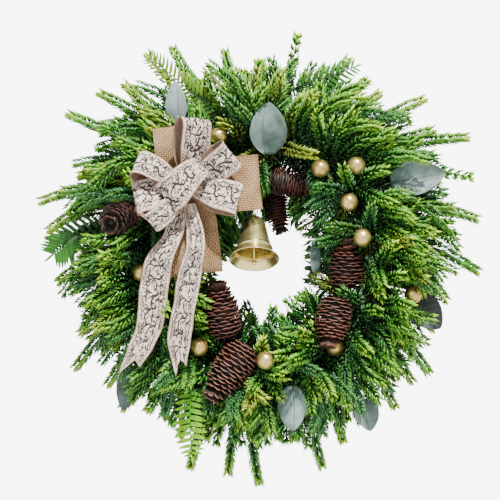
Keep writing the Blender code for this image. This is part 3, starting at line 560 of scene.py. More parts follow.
def side_branchlets(path):
    """Shorter branchlets that leave a longer one in turn on its two sides and bend its way."""
    total = lengths_along(path)[-1]
    stops = np.arange(max(BARE, 0.22 * total), 0.88 * total, SIDE_GAP)
    places, way = resampled(path, stops)
    side = unit(np.cross(way, FRONT))
    flip = draw.choice((1, -1))
    for place, w, across, stop in zip(places, way, side, stops):
        flip = -flip
        long = mix(68, 38, stop / total) * MM * draw.uniform(0.8, 1.15)
        lean = unit(w * 0.86 + across * flip * 0.52 + FRONT * draw.uniform(-0.10, 0.30))
        t = np.linspace(0, 1, 8)[:, None]
        twig = place + lean * long * t + (w - lean) * 0.4 * long * t * t - UP * 0.10 * long * t * t
        angle, reach = polar_of(twig[-1])
        inside = FOREMOST + 6 * MM < twig[-1][1] < BACK - 3 * MM
        inside = inside and TWIG_LEAST < reach < TWIG_MOST * full(angle)
        if inside and crowding(twig) < 0.9 and clear(twig[1:]) and covers(twig) < 0.1:
            claim(twig)
            yield twig


def needles(heap, path, hue, bare=BARE, rich=1.0, lit=1.0, broad=1.0):
    """Needles in whorls along a branchlet. Each is a keeled blade that leans forward."""
    total = lengths_along(path)[-1]
    first = min(bare, 0.2 * total)
    whorls = max(4, int((total - first) / WHORL_GAP * rich))
    stops = first + (total - first) * np.linspace(0, 1, whorls) ** 0.85
    stops = np.repeat(stops, len(WHORL)) + np.tile([0, 1.6, 0.8, 2.4, 1.2], whorls) * MM / rich
    stops = np.minimum(stops, total)
    count = len(stops)
    places, way = resampled(path, stops)
    rest = np.array([draw.random() for _ in range(4 * count)]).reshape(4, count)
    side = unit(np.cross(way, mix(FRONT, UP, 0.3)))
    over = np.cross(side, way)
    turn = np.tile(WHORL, whorls) + 0.5 * (rest[0] - 0.5)
    out = side * np.cos(turn)[:, None] + over * np.sin(turn)[:, None]
    t = (stops - first) / (total - first)
    slope = np.radians(mix(LEAN_ROOT, LEAN_TIP, t**1.5) + 8 * (rest[1] - 0.5))[:, None]
    size = (NEEDLE * mix(1.0, 0.84, smooth((t - 0.7) / 0.3)) * mix(0.86, 1.08, rest[2]))[:, None]
    lean = way * np.cos(slope) + out * np.sin(slope)
    root = places + out * (mix(CORE_ROOT, CORE_TIP, stops / total) * 0.5)[:, None]
    keep = np.array([OTHERS.ray_cast(Vector(a), Vector(d), float(s) + 0.6 * MM)[0] is None
                     for a, d, s in zip(root, lean, size[:, 0])])
    tip = root + lean * size + way * size * 0.12
    keep &= tip[:, 1] < BACK - 0.4 * MM
    flat = unit(np.cross(lean, out))
    keel = unit(np.cross(flat, lean))
    middle = root + lean * size * 0.55 + keel * NEEDLE_THICK
    wide = flat * (broad * NEEDLE_WIDE / 2 * mix(0.85, 1.2, rest[3]) * mix(1.0, 1.25, t))[:, None]
    points = np.stack([root, middle + wide, middle - wide, tip], 1)[keep]
    n = len(points)
    corners = np.array([(0, 1, 2), (3, 2, 1), (0, 3, 1), (0, 2, 3)])
    faces = (4 * np.arange(n)[:, None, None] + corners).reshape(-1, 3)
    # Painted light and shade: a needle is painted brighter the further forward it lies and darker deep in the
    # wreath, with the tips kept bright, all scaled by its branchlet's lit value. The front mark carries it.
    bright = lit * np.maximum(smooth((RING_Y - places[:, 1]) / (60 * MM)), 0.75 * t * t)
    marks = {"hue": hue + 0.25 * np.repeat(rest[1][keep] - 0.5, 4), "front": np.repeat(bright[keep], 4)}
    blade = np.tile([0.0, 0.65, 0.65, 1.0], n)
    heap.add(points, [faces], along=np.repeat(t[keep], 4), blade=blade, **marks)


def stem(heap, path, hue):
    total = lengths_along(path)[-1]
    stops = np.linspace(0, total - 1.5 * MM, max(6, int(total / (7 * MM))))
    shape = rod(resampled(path, stops)[0], mix(CORE_ROOT, CORE_TIP, stops / total) * 0.8, 5)
    along = np.append(np.repeat(stops / total, 5), (0, 1))
    heap.add(*shape, along=along * 0.7, blade=0.0, hue=hue, front=0.2)


def plastic_green(shade):
    """Dark at the needle's root, mid green along the branchlet, and yellow green at its tip."""
    along, blade, hue = shade.mark("along"), shade.mark("blade"), shade.mark("hue")
    speck = shade.noise(180, 2)
    # Painted shade and light: low along and blade values darken the needles' roots and the stems deep in the
    # wreath, partly as painted shade, and the front mark adds painted light by depth.
    ripeness_and_painted_shade = along * 0.38 + blade * 0.38 + shade.mark("front") * 0.36 + hue * 0.15 + (speck - 0.5) * 0.4 - 0.135
    colour = ripeness_and_painted_shade.ramp(
        (0.0, (0.001, 0.009, 0.002)), (0.34, (0.005, 0.050, 0.007)), (0.62, (0.022, 0.165, 0.012)),
        (0.84, (0.14, 0.42, 0.016)), (1.0, (0.60, 0.86, 0.035)),
    )
    blue = hue.between(-0.15, -0.75)
    olive = hue.between(0.35, 0.95)
    colour = shade.tint(colour, (0.035, 0.155, 0.055), blue * 0.6)
    colour = shade.tint(colour, (0.27, 0.27, 0.035), olive * 0.55)
    return {"Base Color": colour, "Roughness": 0.32 + speck * 0.2, "height": shade.noise(1300, 2)}


NEEDLE_GREEN = surface("needle_green", plastic_green, 0.06 * MM, Specular_IOR_Level=0.5)


def make_sprays():
    heaps = [Heap() for _ in range(SPRAYS)]
    for n, way in enumerate(branchlets()):
        path = find_room(*way)
        if path is None:
            continue
        sector = int(((polar_of(path[0])[0] - 90) % 360) / SECTOR)
        hue = draw.gauss(0.0 if path[-1][2] > CENTRE[2] else -0.1, 0.42)
        if n < len(RIM_TIPS):
            hue = 0.1 + abs(hue) * 0.6
        stem(heaps[sector], path, hue)
        # Painted light and shade: branchlets that reach into the hole, all but those at its lower left and
        # bottom, are painted dark for the shade there, and the rim tips are painted brighter.
        shaded = way[0] is inward and polar_of(path[-1])[0] > -25
        lit = 1.25 if n < len(RIM_TIPS) else 0.3 if shaded else 1.0
        rich, broad = (1.4, 1.3) if n < len(RIM_TIPS + HOLE_TIPS) else (1.0, 1.0)
        if n in OPEN_TIPS:
            rich, broad = 0.45, 2.1
        needles(heaps[sector], path, hue, BARE, rich, lit, broad)
        for twig in side_branchlets(path):
            stem(heaps[sector], twig, hue)
            needles(heaps[sector], twig, hue, 2 * MM, 1.0, lit)
    for n, heap in enumerate(heaps):
        middle = 90 + SECTOR * (n + 0.5)
        bar = polar(np.linspace(middle - 8.6, middle + 8.6, 7), BAR_RADIUS, BAR_FORWARD)
        heap.add(*rod(bar, 2.6 * MM, 8), along=0.0, blade=0.0, hue=0.0, front=0.0)
        heap.piece(f"greenery_{n + 1:02d}", NEEDLE_GREEN, "needles", [f"spray_{n + 1:02d}"])


make_sprays()

# Fern fronds: a wiry rib with flat leaflets in pairs, moulded in one, on a stem wired to the ring.
# Two are green and two olive, and all lie on or under the greenery with their faces forward.
FERN_THICK = 0.45 * MM
STEM_DEPTH, STEM_LIFT = 7 * MM, 12 * MM  # where a wired stem starts on the vine, and how far it first rises
# Each fern: its rib's route, pairs of leaflets, their length in pixels, breadth, rake, slot and finish
FERNS = [
    ([(107, 227, 14), (78, 235, 14), (67, 243, 12), (54, 254, 8)], 15, 24, 0.10, 0.5, "green_fern", "dark"),
    ([(293, 90, 24), (324, 80, 22), (354, 68, 16)], 12, 15, 0.12, 0.6, "green_fern", "dark"),
    ([(192, 387, 40), (191, 420, 40), (193, 453, 34)], 12, 17, 0.145, 0.16, "olive_fern", "bright"),
    ([(228, 123, 22), (190, 92, 20), (151, 58, 12)], 23, 16, 0.11, 0.5, "olive_fern", "olive"),
]


def plate(grid, thickness):
    """A curved plate whose middle surface is a grid of points: its points and faces, top first."""
    normal = unit(np.cross(np.gradient(grid, axis=0), np.gradient(grid, axis=1)))
    half = normal * np.broadcast_to(thickness, grid.shape[:2])[..., None] / 2
    rows, columns = grid.shape[:2]
    n = rows * columns
    index = np.arange(n).reshape(rows, columns)
    up = np.stack([index[:-1, :-1], index[1:, :-1], index[1:, 1:], index[:-1, 1:]], -1).reshape(-1, 4)
    edge = np.concatenate([index[:-1, 0], index[-1, :-1], index[:0:-1, -1], index[0, :0:-1]])
    after = np.roll(edge, -1)
    rim = np.stack([after, edge, edge + n, after + n], -1)
    points = np.concatenate([(grid + half).reshape(-1, 3), (grid - half).reshape(-1, 3)])
    return points, [up, up[:, ::-1] + n, rim]


def on_plate(down, across):
    """What a plate's points are marked with, from a value for each row and one for each column."""
    return np.tile(np.repeat(down, len(across)), 2), np.tile(across, 2 * len(down))


def along_line(points, t):
    """A place on a smooth curve through the points, t from 0 to 1, and its direction."""
    points = np.asarray(points, float)
    at = np.clip(t, 0, 1) * (len(points) - 1)
    i = np.minimum(at.astype(int), len(points) - 2)
    f = (at - i)[..., None]
    before, after = points[np.maximum(i - 1, 0)], points[np.minimum(i + 2, len(points) - 1)]
    a, b = points[i], points[i + 1]
    out, into = (b - before) / 2, (after - a) / 2
    place = (2 * f**3 - 3 * f**2 + 1) * a + (f**3 - 2 * f**2 + f) * out
    return place + (3 * f**2 - 2 * f**3) * b + (f**3 - f**2) * into


def wired_stem(heap, end, arrival, radius, **marks):
    """A stem from the vine's front to a piece, which it reaches along the arrival direction."""
    angle, reach = polar_of(end)
    foot = polar(angle, RING_RADIUS + math.copysign(6, reach - RING_RADIUS) * MM, STEM_DEPTH)
    length = np.linalg.norm(end - foot)
    t = np.linspace(0, 1, 12)[:, None]
    lift, near = foot + FRONT * min(0.4 * length, STEM_LIFT), end - arrival * 0.35 * length
    path = foot * (1 - t) ** 3 + lift * 3 * t * (1 - t) ** 2 + near * 3 * t * t * (1 - t) + end * t**3
    heap.add(*rod(path, radius, 7), **marks)


def fern_green(dark, pale):
    def paint(shade):
        blade, along = shade.mark("blade"), shade.mark("along")
        mottle = shade.noise(260, 3)
        share = (blade * 0.4 + along * 0.55 + (mottle - 0.5) * 0.7).between(0.05, 0.95)
        vein = shade.mark("across").between(0.16, 0.0)
        colour = shade.tint(shade.tint(dark, pale, share), dark, vein * 0.6)
        return {"Base Color": colour, "Roughness": 0.4 + mottle * 0.2, "height": mottle - vein * 0.6}

    return paint


FERN_FINISH = {
    name: surface(f"fern_{name}", fern_green(dark, pale), 0.1 * MM, Specular_IOR_Level=shine)
    for name, dark, pale, shine in (
        ("dark", (0.003, 0.035, 0.005), (0.05, 0.26, 0.016), 0.3),
        ("bright", (0.035, 0.20, 0.004), (0.28, 0.58, 0.006), 0.25),
        ("olive", (0.006, 0.05, 0.004), (0.22, 0.38, 0.010), 0.25),
    )
}


def leaflet(heap, root, way, out, face, length, broad, rake, t):
    """A flat pointed leaflet with a groove down its middle, bent forward along the rib."""
    rows, columns = 7, 5
    s, c = np.linspace(0, 1, rows)[:, None], np.linspace(-1, 1, columns)[None]
    half = broad * length * np.sin(np.pi * (0.10 + 0.89 * s) ** 0.8) ** 0.6
    lean = unit(out + way * rake)
    across = unit(np.cross(face, lean))
    bend = way * 0.4 * rake * length - face * 0.12 * length
    grid = root + lean * length * s[..., None] + bend * (s**2)[..., None]
    grid = grid + across * (half * c)[..., None] + face * (0.25 * half * np.abs(c))[..., None]
    blade, across = on_plate(s[:, 0], np.abs(c[0]))
    heap.add(*plate(grid, FERN_THICK), along=t, blade=blade, across=across)


def make_fern(n, route, pairs, wide, broad, rake, slot, finish):
    heap = Heap()
    line = np.array([spot(*p) for p in route])
    stops = np.linspace(0, 1, 2 * pairs + 1)
    path = along_line(line, stops)
    way = unit(np.gradient(path, axis=0))
    side = unit(np.cross(way, FRONT))
    face = unit(np.cross(side, way))
    path = path + face * (5 * MM * np.sin(np.pi * stops))[:, None]
    heap.add(*rod(path, mix(1.0, 0.45, stops) * MM, 8), along=0.0, blade=0.0, across=0.0)
    for i in range(1, 2 * pairs):
        t = stops[i]
        length = wide * PIXEL * (0.42 + 0.55 * math.sin(math.pi * (0.14 + 0.80 * t)))
        for sign in (1, -1):
            if (i + (sign > 0)) % 2 == 0:
                own = length * draw.uniform(0.92, 1.06)
                leaflet(heap, path[i], way[i], sign * side[i], face[i], own, broad, rake, t)
    leaflet(heap, path[-1], way[-1], way[-1], face[-1], wide * PIXEL * 0.5, broad, rake, 1.0)
    wired_stem(heap, path[1], way[1], 1.0 * MM, along=0.0, blade=0.0, across=0.0)
    heap.piece(f"fern_frond_{n}", FERN_FINISH[finish], slot, [f"fern_{n}"])


for n, fern in enumerate(FERNS, 1):
    make_fern(n, *fern)

# Eucalyptus leaves: printed matt fabric blades, stiffened by a wire under the midrib.
# Each is on its own wired stem, among the greenery and in front of it.
LEAF_THICK = 0.5 * MM
LEAF_BOW, LEAF_FOLD = 4 * MM, 0.32
# Each leaf: base and tip as pixels and millimetres forward, width in pixels, roll and bloom.
# The roll also picks the half of the blade painted lighter, as painted light, and a low bloom paints
# the fourth and eighth leaves dark as painted shade.
LEAVES = [
    ((178, 128, 30), (176, 83, 36), 21, 0.2, 2.2),
    ((268, 157, 42), (268, 104, 46), 37, -0.32, 0.0),
    ((387, 183, 34), (443, 174, 38), 34, 0.05, -0.2),
    ((407, 292, 16), (440, 328, 12), 33, 0.1, -2.6),
    ((291, 382, 36), (292, 429, 36), 29, -0.15, 0.3),
    ((362, 396, 32), (369, 429, 32), 24, 0.1, 0.2),
    ((136, 363, 22), (124, 409, 22), 25, 0.0, -1.0),
    ((314, 241, 26), (315, 278, 30), 11, 0.0, -0.6),
]


def frosted_leaf(shade):
    """Grey green with a pale bloom, darker between its pale side veins."""
    across, along = shade.mark("across"), shade.mark("along")
    off = across.maths("ABSOLUTE")
    rib = off.between(0.07, 0.0)
    vein = (along * 7.5 - off * 1.3).maths("PINGPONG", 0.5).between(0.09, 0.0)
    bloom = shade.noise(70, 3)
    patch = shade.noise(28, 2)
    # Painted light and shade: the turned mark lightens one half of each blade and darkens the leaves that lie
    # in shade; the bloom and patch noise are the leaf's own colour.
    tone = bloom * 0.5 + patch * 0.5 + shade.mark("turned") * 0.10 - 0.02
    colour = tone.ramp(
        (0.20, (0.018, 0.024, 0.027)), (0.36, (0.045, 0.085, 0.072)), (0.52, (0.115, 0.185, 0.172)),
        (0.68, (0.27, 0.35, 0.36)),
    )
    colour = shade.tint(colour, (0.035, 0.065, 0.045), rib * 0.75)
    colour = shade.tint(colour, (0.30, 0.38, 0.36), vein * 0.12)
    colour = shade.tint(colour, (0.03, 0.07, 0.03), shade.mark("stem"))
    height = vein * 0.35 - rib * 0.8 + shade.noise(900, 2) * 0.15
    return {"Base Color": colour, "Roughness": 0.58 + bloom * 0.25, "height": height}


EUCALYPTUS = surface("eucalyptus_bloom", frosted_leaf, 0.25 * MM)


def make_leaf(n, base, tip, wide, roll, bloom_and_painted_shade):
    """Roll is how far the midrib lies from the blade's middle, and picks the half painted lighter as painted
    light.
    The bloom is how pale the leaf is; set low, it paints a leaf that lies in shade darker, as painted shade.
    """
    heap = Heap()
    base, tip = spot(*base), spot(*tip)
    length = np.linalg.norm(tip - base)
    way = unit(tip - base)
    side = unit(np.cross(way, FRONT))
    face = unit(np.cross(side, way))
    rows, columns = 25, 13
    s, c = np.linspace(0, 1, rows)[:, None], np.linspace(-1, 1, columns)[None]
    t = 0.03 + 0.96 * s
    half = 0.5 * wide * PIXEL * np.sin(np.pi * t**0.85) ** 0.7
    wave = 0.5 * MM * np.sin(9 * s + 1.7 * n) * c**2 * np.sign(c)
    lift = LEAF_BOW * np.sin(np.pi * t) + LEAF_FOLD * half * np.abs(c) ** 1.3 * (1 - 1.2 * roll * c) + wave
    shift = half * (c + roll * (1 - c * c))
    grid = base + way * (length * t)[..., None] + side * shift[..., None] + face * lift[..., None]
    shape = plate(grid, LEAF_THICK * (1 + 0.8 * np.exp(-(12 * c) ** 2)) * np.ones_like(s))
    along, across = on_plate(s[:, 0], c[0])
    # Painted light: one half of the blade, picked by the roll, is painted lighter than the other; the bloom
    # adds the leaf's paleness and, where it is low, painted shade.
    lit = across * math.copysign(1.0, roll) + bloom_and_painted_shade
    heap.add(*shape, along=along, across=across, turned=lit, stem=0.0)
    wired_stem(heap, grid[2, columns // 2], way, 0.9 * MM, along=0.0, across=0.5, turned=0.0, stem=1.0)
    heap.piece(f"eucalyptus_{n}", EUCALYPTUS, "eucalyptus", [f"leaf_{n}"])


for n, leaf in enumerate(LEAVES, 1):
    make_leaf(n, *leaf)

# Pine cones: real dried cones, wired round their lowest scales.
# Woody scales spiral round a core, each ending in a paler, thickened lip.
# Each cone: base and tip as pixels and millimetres forward, radius in millimetres, scales and paleness.
# The low paleness of the second and third cones paints them dark, as painted shade.
CONES = [
    ((131, 212, 18), (112, 224, 58), 18.0, 138, 0.6),
    ((268, 180, 30), (310, 188, 34), 14.5, 150, 0.5),
    ((274, 191, 6), (281, 233, 8), 14.0, 140, 0.3),
    ((344, 290, 34), (346, 241, 36), 18.0, 138, 0.75),
    ((336, 296, 46), (327, 344, 50), 18.0, 144, 0.9),
    ((226, 337, 42), (218, 282, 46), 18.0, 154, 0.85),
    ((247, 343, 44), (212, 396, 50), 19.0, 166, 0.95),
]
FULLEST = 0.38  # where along its length a cone is widest
CORE_SHARE = 0.68  # the core's share of the cone's radius
ROUND = 2 * math.pi / 10.5  # from one scale to the next round the cone


def cone_wood(shade):
    lip, across = shade.mark("lip"), shade.mark("across")
    grain = shade.noise(500, 4, shade.place((1.0, 1.0, 0.5)))
    warm = shade.noise(45, 2)
    # Painted shade: the scales darken from their pale lips to near black at their roots and on the core,
    # partly the cone's own colour and partly painted shade between the scales.
    colour = (lip + (grain - 0.5) * 0.30).ramp(
        (0.10, (0.005, 0.002, 0.0015)), (0.50, (0.035, 0.010, 0.007)), (0.82, (0.09, 0.028, 0.018)),
        (0.99, (0.29, 0.135, 0.09)),
    )
    colour = shade.tint(colour, (0.20, 0.055, 0.024), warm.between(0.45, 0.65) * 0.4)
    ridge = across.between(0.35, 0.0) * lip.between(0.8, 1.0)
    return {"Base Color": colour, "Roughness": 0.5 + grain * 0.3, "height": grain * 0.5 + ridge * 0.5}


CONE_WOOD = surface("cone_wood", cone_wood, 0.25 * MM)


def make_cone(n, base, tip, radius, scales, paleness_and_painted_shade):
    heap = Heap()
    base, tip = spot(*base), spot(*tip)
    axis = unit(tip - base)
    length = np.linalg.norm(tip - base)
    x = unit(np.cross(axis, UP if abs(axis @ UP) < 0.9 else FRONT))
    y = np.cross(axis, x)
    radius *= MM

    def girth(t):
        bulge = np.sqrt(np.maximum(0.02, 1 - ((t - FULLEST) / 0.66) ** 2))
        return radius * bulge * (1 - 0.38 * smooth(1 - t / 0.16))

    core = np.linspace(0.02, 0.96, 20)
    shape = rod(base + axis * (length * core)[:, None], CORE_SHARE * girth(core) * (1 - core**6), 12)
    heap.add(*shape, lip=0.1, across=1.0)
    columns = 5
    s, c = np.array([0.0, 0.45, 0.82, 1.0])[:, None], np.linspace(-1, 1, columns)[None]
    for k in range(scales):
        t = 0.01 + 0.95 * (k + 0.5) / scales
        turn = ROUND * k + draw.uniform(-0.07, 0.07)
        reach = girth(t) * draw.uniform(0.93, 1.03)
        out = x * math.cos(turn) + y * math.sin(turn)
        side = np.cross(axis, out)
        # How far the scale stands off the axis
        stand = math.radians(mix(84, 58, t) - 44 * smooth((t - 0.80) / 0.18) + draw.uniform(-5, 5))
        root = base + axis * (length * t - mix(0.05, 0.30, t) * radius) + out * 0.34 * reach
        long = 0.66 * reach / max(math.sin(stand), 0.55)
        lean = out * math.sin(stand) + axis * math.cos(stand)
        half = 0.5 * radius * mix(0.30, mix(0.78, 0.46, smooth((t - 0.45) / 0.55)), s**0.8)
        half = half * (1 - 0.34 * smooth((s - 0.70) / 0.30))
        curl = 0.10 * radius * s**2 - 0.13 * radius * (1 - s * 0.5) * c**2 * s
        grid = root + lean * (long * s)[..., None] + side * (half * c)[..., None]
        grid = grid + out * (curl * 0.6)[..., None] - axis * (0.05 * radius * c**2 * s)[..., None]
        thick = mix(1.0, 1.7, s**2) * 0.032 * radius * (1 - 0.45 * np.abs(c))
        # A low paleness keeps the lips dark, which for the second and third cones is painted shade.
        lip, across = on_plate(paleness_and_painted_shade * s[:, 0] ** 6, np.abs(c[0]))
        heap.add(*plate(grid, thick), lip=lip, across=across)
    wired_stem(heap, base + axis * 0.1 * length, axis, 1.0 * MM, lip=0.3, across=1.0)
    heap.piece(f"pine_cone_{n}", CONE_WOOD, "cone", [f"cone_{n}"])


for n, cone in enumerate(CONES, 1):
    make_cone(n, *cone)

# Gold berries: hollow plastic balls with a moulding seam, lacquered gold.
# Each is pushed on a wired stem, which leaves a dimple where it goes in.
BERRY = 9.4 * MM
BERRIES = [
    (219, 138, 40), (319, 170, 46), (354.5, 167, 44), (347, 203, 48), (360, 238, 54), (411, 294, 38),
    (334, 346, 29), (265, 358, 62), (200, 345, 50), (143, 272, 44), (116, 240, 12),
]


def gold_lacquer(shade):
    cloud = shade.noise(120, 3)
    pit = shade.noise(1400, 2).between(0.60, 0.72)
    colour = cloud.ramp((0.35, (0.46, 0.32, 0.09)), (0.6, (0.63, 0.47, 0.16)), (0.8, (0.72, 0.57, 0.24)))
    return {"Base Color": colour, "Roughness": 0.24 + cloud * 0.16, "height": pit * -0.6 - shade.mark("seam")}


GOLD = surface("gold_lacquer", gold_lacquer, 0.12 * MM, Metallic=0.85)


def make_berry(n, place):
    """A ball turned about the way that its stem goes in, with a dimple round the stem."""
    heap = Heap()
    rows, sides = 28, 40
    pole = math.pi * np.linspace(0.0, 1.0, rows)
    middle = spot(*place)
    back = unit(polar(polar_of(middle)[0], RING_RADIUS, STEM_DEPTH) - middle)
    size = BERRY * (1 - 0.16 * np.exp(-((pole / 0.16) ** 2)))
    line = middle + back * (size * np.cos(pole))[:, None]
    seam = np.exp(-(((pole - math.pi / 2) / 0.035) ** 2))
    ball = rod(line, np.maximum(size * np.sin(pole), 1e-5), sides)
    heap.add(*ball, seam=np.append(np.repeat(seam, sides), (0, 0)))
    wired_stem(heap, middle + back * 0.7 * BERRY, -back, 0.9 * MM, seam=0.0)
    heap.piece(f"gold_berry_{n:02d}", GOLD, "gold_berry", [f"berry_{n:02d}"])


for n, place in enumerate(BERRIES, 1):
    make_berry(n, place)

# Burlap bow: three flat loops of jute ribbon, gathered at a waist that the bow wire goes through.
# It is the layer behind the printed ribbon. Its cut edges are locked with a doubled thread.
BOW_PX, BOW_PY = 188, 190
BURLAP_WIDE, BURLAP_THICK = 54.6 * MM, 0.8 * MM
BURLAP_EDGE = 0.7 * MM  # the thread in its edges
BURLAP_BACK, BURLAP_FRONT, BURLAP_WAIST = 64.5, 71.0, 9 * MM
# Each loop: angle, length and width in pixels, bulge in millimetres, rise, and tilt in degrees
BURLAP_LOOPS = [(96, 61, 52, 7, 0.02, 0), (5, 72, 52, 7, 0.02, 0), (-83, 84, 50, 7, 0.0, 0)]
PINCH, TUCKED, SWELL = 0.38, 2.5 * MM, 0.9  # how a loop narrows, reaches into the waist and rounds out
THREAD = 2.3 * MM
WIRE_HOLE = 1.6 * MM  # round the bow's wire, in the middle of each waist


def loop_line(forward, waist, spread, angle, length, width, bulge, rise, tilt, rows=64):
    """A loop out from the waist and back: its middle line, and half its width as vectors."""
    a, turned = math.radians(angle), math.radians(tilt)
    length, width, bulge = length * PIXEL, width * PIXEL, bulge * MM
    way = np.array([math.cos(a), 0.0, math.sin(a)])
    side = np.cross(way, FRONT) * math.cos(turned) + FRONT * math.sin(turned)
    first = math.asin(((waist - TUCKED) / length) ** (1 / SWELL)) / math.pi
    t = mix(first, 1 - first, np.linspace(0, 1, rows))
    out = length * np.sin(np.pi * t) ** SWELL
    line = spot(BOW_PX, BOW_PY, forward) + (way + FRONT * rise) * out[:, None]
    line = line - np.cross(side, way) * (bulge * np.sin(2 * np.pi * t))[:, None]
    wide = mix(PINCH, 1, smooth(spread * out / length))
    return line, side * (0.5 * width * wide)[:, None], wide


def ribbon_grid(line, sides, wide, columns, pleat, sag, notch=0.0, seed=0.0):
    """The ribbon's middle surface. It is pleated where it narrows and a little crumpled everywhere."""
    lengths = lengths_along(line)
    c = np.linspace(-1, 1, columns)
    normal = unit(np.cross(unit(np.gradient(line, axis=0)), sides))
    at = lengths[:, None] * (1 - notch * (1 - np.abs(c)))[None]
    k = at / MM
    fold = pleat * (1 - wide[:, None]) * np.cos(3.3 * np.pi * c + 0.8 + seed)
    crumple = np.sin(0.11 * k + 2.1 * seed + 1.3 * c) * 0.6 + 0.4 * np.sin(0.23 * k - 2.7 * c + seed)
    rise = fold + sag * crumple * wide[:, None]

    def there(values):
        return np.stack([np.interp(at, lengths, values[:, i]) for i in range(3)], -1)

    return there(line) + there(sides) * c[None, :, None] + there(normal) * rise[..., None], at, c


def lay_ribbon(heap, grid, at, c, thickness, thread, across):
    """A ribbon with a thread in each edge, marked how far along and across, and whether outside."""
    outer, over = np.repeat([1.0, 0.0], at.size), np.tile(c, 2 * len(at))
    heap.add(*plate(grid, thickness), along=np.tile(at.ravel(), 2), across=over, outer=outer)
    for edge, share in zip((0, -1), across):
        heap.add(*rod(grid[:, edge], thread, 6), along=0.0, across=share, outer=1.0)


def turned(radii, heights, sides, pleats=0.0, count=9):
    """A turned or pleated shape about Z, pole to pole: its points and faces."""
    turn = 2 * np.pi * np.arange(sides) / sides
    radii, heights = np.asarray(radii)[:, None], np.asarray(heights)[:, None]
    size = radii + pleats * np.cos(count * turn)[None] * (radii > 4 * MM)
    places = np.broadcast_arrays(size * np.cos(turn), size * np.sin(turn), heights)
    points = np.stack(places, -1)
    rows = len(size)
    row, j = sides * np.arange(rows - 1)[:, None], np.arange(sides)
    k = (j + 1) % sides
    faces = np.stack([row + j, row + sides + j, row + sides + k, row + k], -1).reshape(-1, 4)
    return points.reshape(-1, 3), [faces]


def knot(heap, back, front, radius, **marks):
    """The gathered middle of a bow: a pleated ring, open for the wire."""
    depth = (front - back) * MM
    t, edge = np.linspace(0, 1, 9), radius * 0.8
    bulge = radius * (0.92 + 0.08 * np.sin(np.pi * t))
    radii = np.concatenate([[WIRE_HOLE, edge], bulge, [edge, WIRE_HOLE, WIRE_HOLE]])
    heights = np.concatenate([[0.0, 0.0], 0.2 * MM + t * (depth - 0.4 * MM), [depth, depth, 0.0]])
    points, faces = turned(radii, heights, 54, 0.5 * MM, 9)
    middle = spot(BOW_PX, BOW_PY, back)
    points = middle + points[:, :1] * np.array([1.0, 0, 0]) + points[:, 1:2] * UP + points[:, 2:] * FRONT
    heap.add(points, faces, **marks)


def jute(shade):
    """A plain weave: one thread goes over and the next under, with dark gaps at the corners."""
    wobble = shade.noise(140, 2) * 0.6
    u = shade.mark("along") / THREAD + wobble
    v = shade.mark("across") * (BURLAP_WIDE / 2 / THREAD) + wobble
    weft = (u.maths("FLOOR") + v.maths("FLOOR")).maths("PINGPONG", 1.0)
    pu, pv = ((x + 0.5).maths("PINGPONG", 0.5) * 2.0 for x in (u, v))
    near = weft * pv + (1.0 - weft) * pu
    other = weft * pu + (1.0 - weft) * pv
    round_thread = (1.0 - near * near).maths("MAXIMUM", 0.0).maths("SQRT")
    # Painted shade: the gaps where the threads cross are painted nearly black, for the shade that shows
    # through them.
    gap = near.between(0.50, 0.92) * other.between(0.2, 0.8)
    hair = shade.noise(1600, 4)
    tone = shade.noise(40, 2) * 0.5 + hair * 0.5 + (weft - 0.5) * 0.10
    colour = tone.ramp((0.30, (0.17, 0.095, 0.042)), (0.5, (0.38, 0.235, 0.12)), (0.68, (0.58, 0.40, 0.23)))
    colour = shade.tint(colour, (0.028, 0.012, 0.006), gap * 0.95)
    height = round_thread * 0.8 + hair * 0.3 - gap * 0.6
    return {"Base Color": colour, "height": height}


JUTE = surface("jute_burlap", jute, 0.7 * MM, Roughness=0.95, Specular_IOR_Level=0.2)


def make_burlap():
    heap = Heap()
    middle = (BURLAP_BACK + BURLAP_FRONT) / 2
    for n, loop in enumerate(BURLAP_LOOPS):
        line, sides, wide = loop_line(middle, BURLAP_WAIST, 2.6, *loop)
        grid, at, c = ribbon_grid(line, sides, wide, 31, 1.6 * MM, 0.7 * MM, 0.0, 1.7 * n)
        lay_ribbon(heap, grid, at, c, BURLAP_THICK, BURLAP_EDGE, (0.0, -1.0))
    knot(heap, BURLAP_BACK, BURLAP_FRONT, BURLAP_WAIST, along=0.0, across=0.0, outer=1.0)
    made = heap.piece("burlap_loops", JUTE, "burlap", ["burlap_bow"])


make_burlap()

# Printed ribbon: a linen-look ribbon with a wire in each edge, looped over the burlap.
# The cloth is cream outside and bare brown inside. The two tails hang from the waist, cut to a V.
RIBBON_WIDE, RIBBON_THICK = 31.5 * MM, 0.4 * MM
RIBBON_BACK, RIBBON_FRONT, RIBBON_WAIST = 71.3, 79.5, 11 * MM
LINEN_THREAD, RIBBON_EDGE, INK_PROUD = 0.55 * MM, 0.42 * MM, 0.09 * MM
RIBBON_LOOPS = [
    (83, 67, 33, 9, 0.30, -34),
    (37, 56, 30, 8, 0.36, -20),
    (-13, 53, 31, 8, 0.40, 14),
    (193, 50, 32, 8, 0.36, -16),
    (155, 54, 29, 9, 0.34, -38),
    (224, 49, 23, 8, 0.56, 26),
]
# The foremost loop comes up out of the waist's upper right, over it, and back in from the lower left
FRONT_LOOP = [
    (203, 173, 80), (205, 169, 88), (203, 169, 96), (196, 174, 102), (186, 184, 105), (177, 194, 104),
    (171, 199, 99), (169, 201, 93), (173, 198, 87), (182, 192, 82),
]
FRONT_WIDE = [17, 19, 21, 25, 30, 33, 33, 32, 26, 18]
FRONT_SIDE = unit(np.array([0.66, 0.0, -0.75]))  # which way its width runs
TAIL_HALF = 14  # half a tail's width in pixels, where it isn't gathered
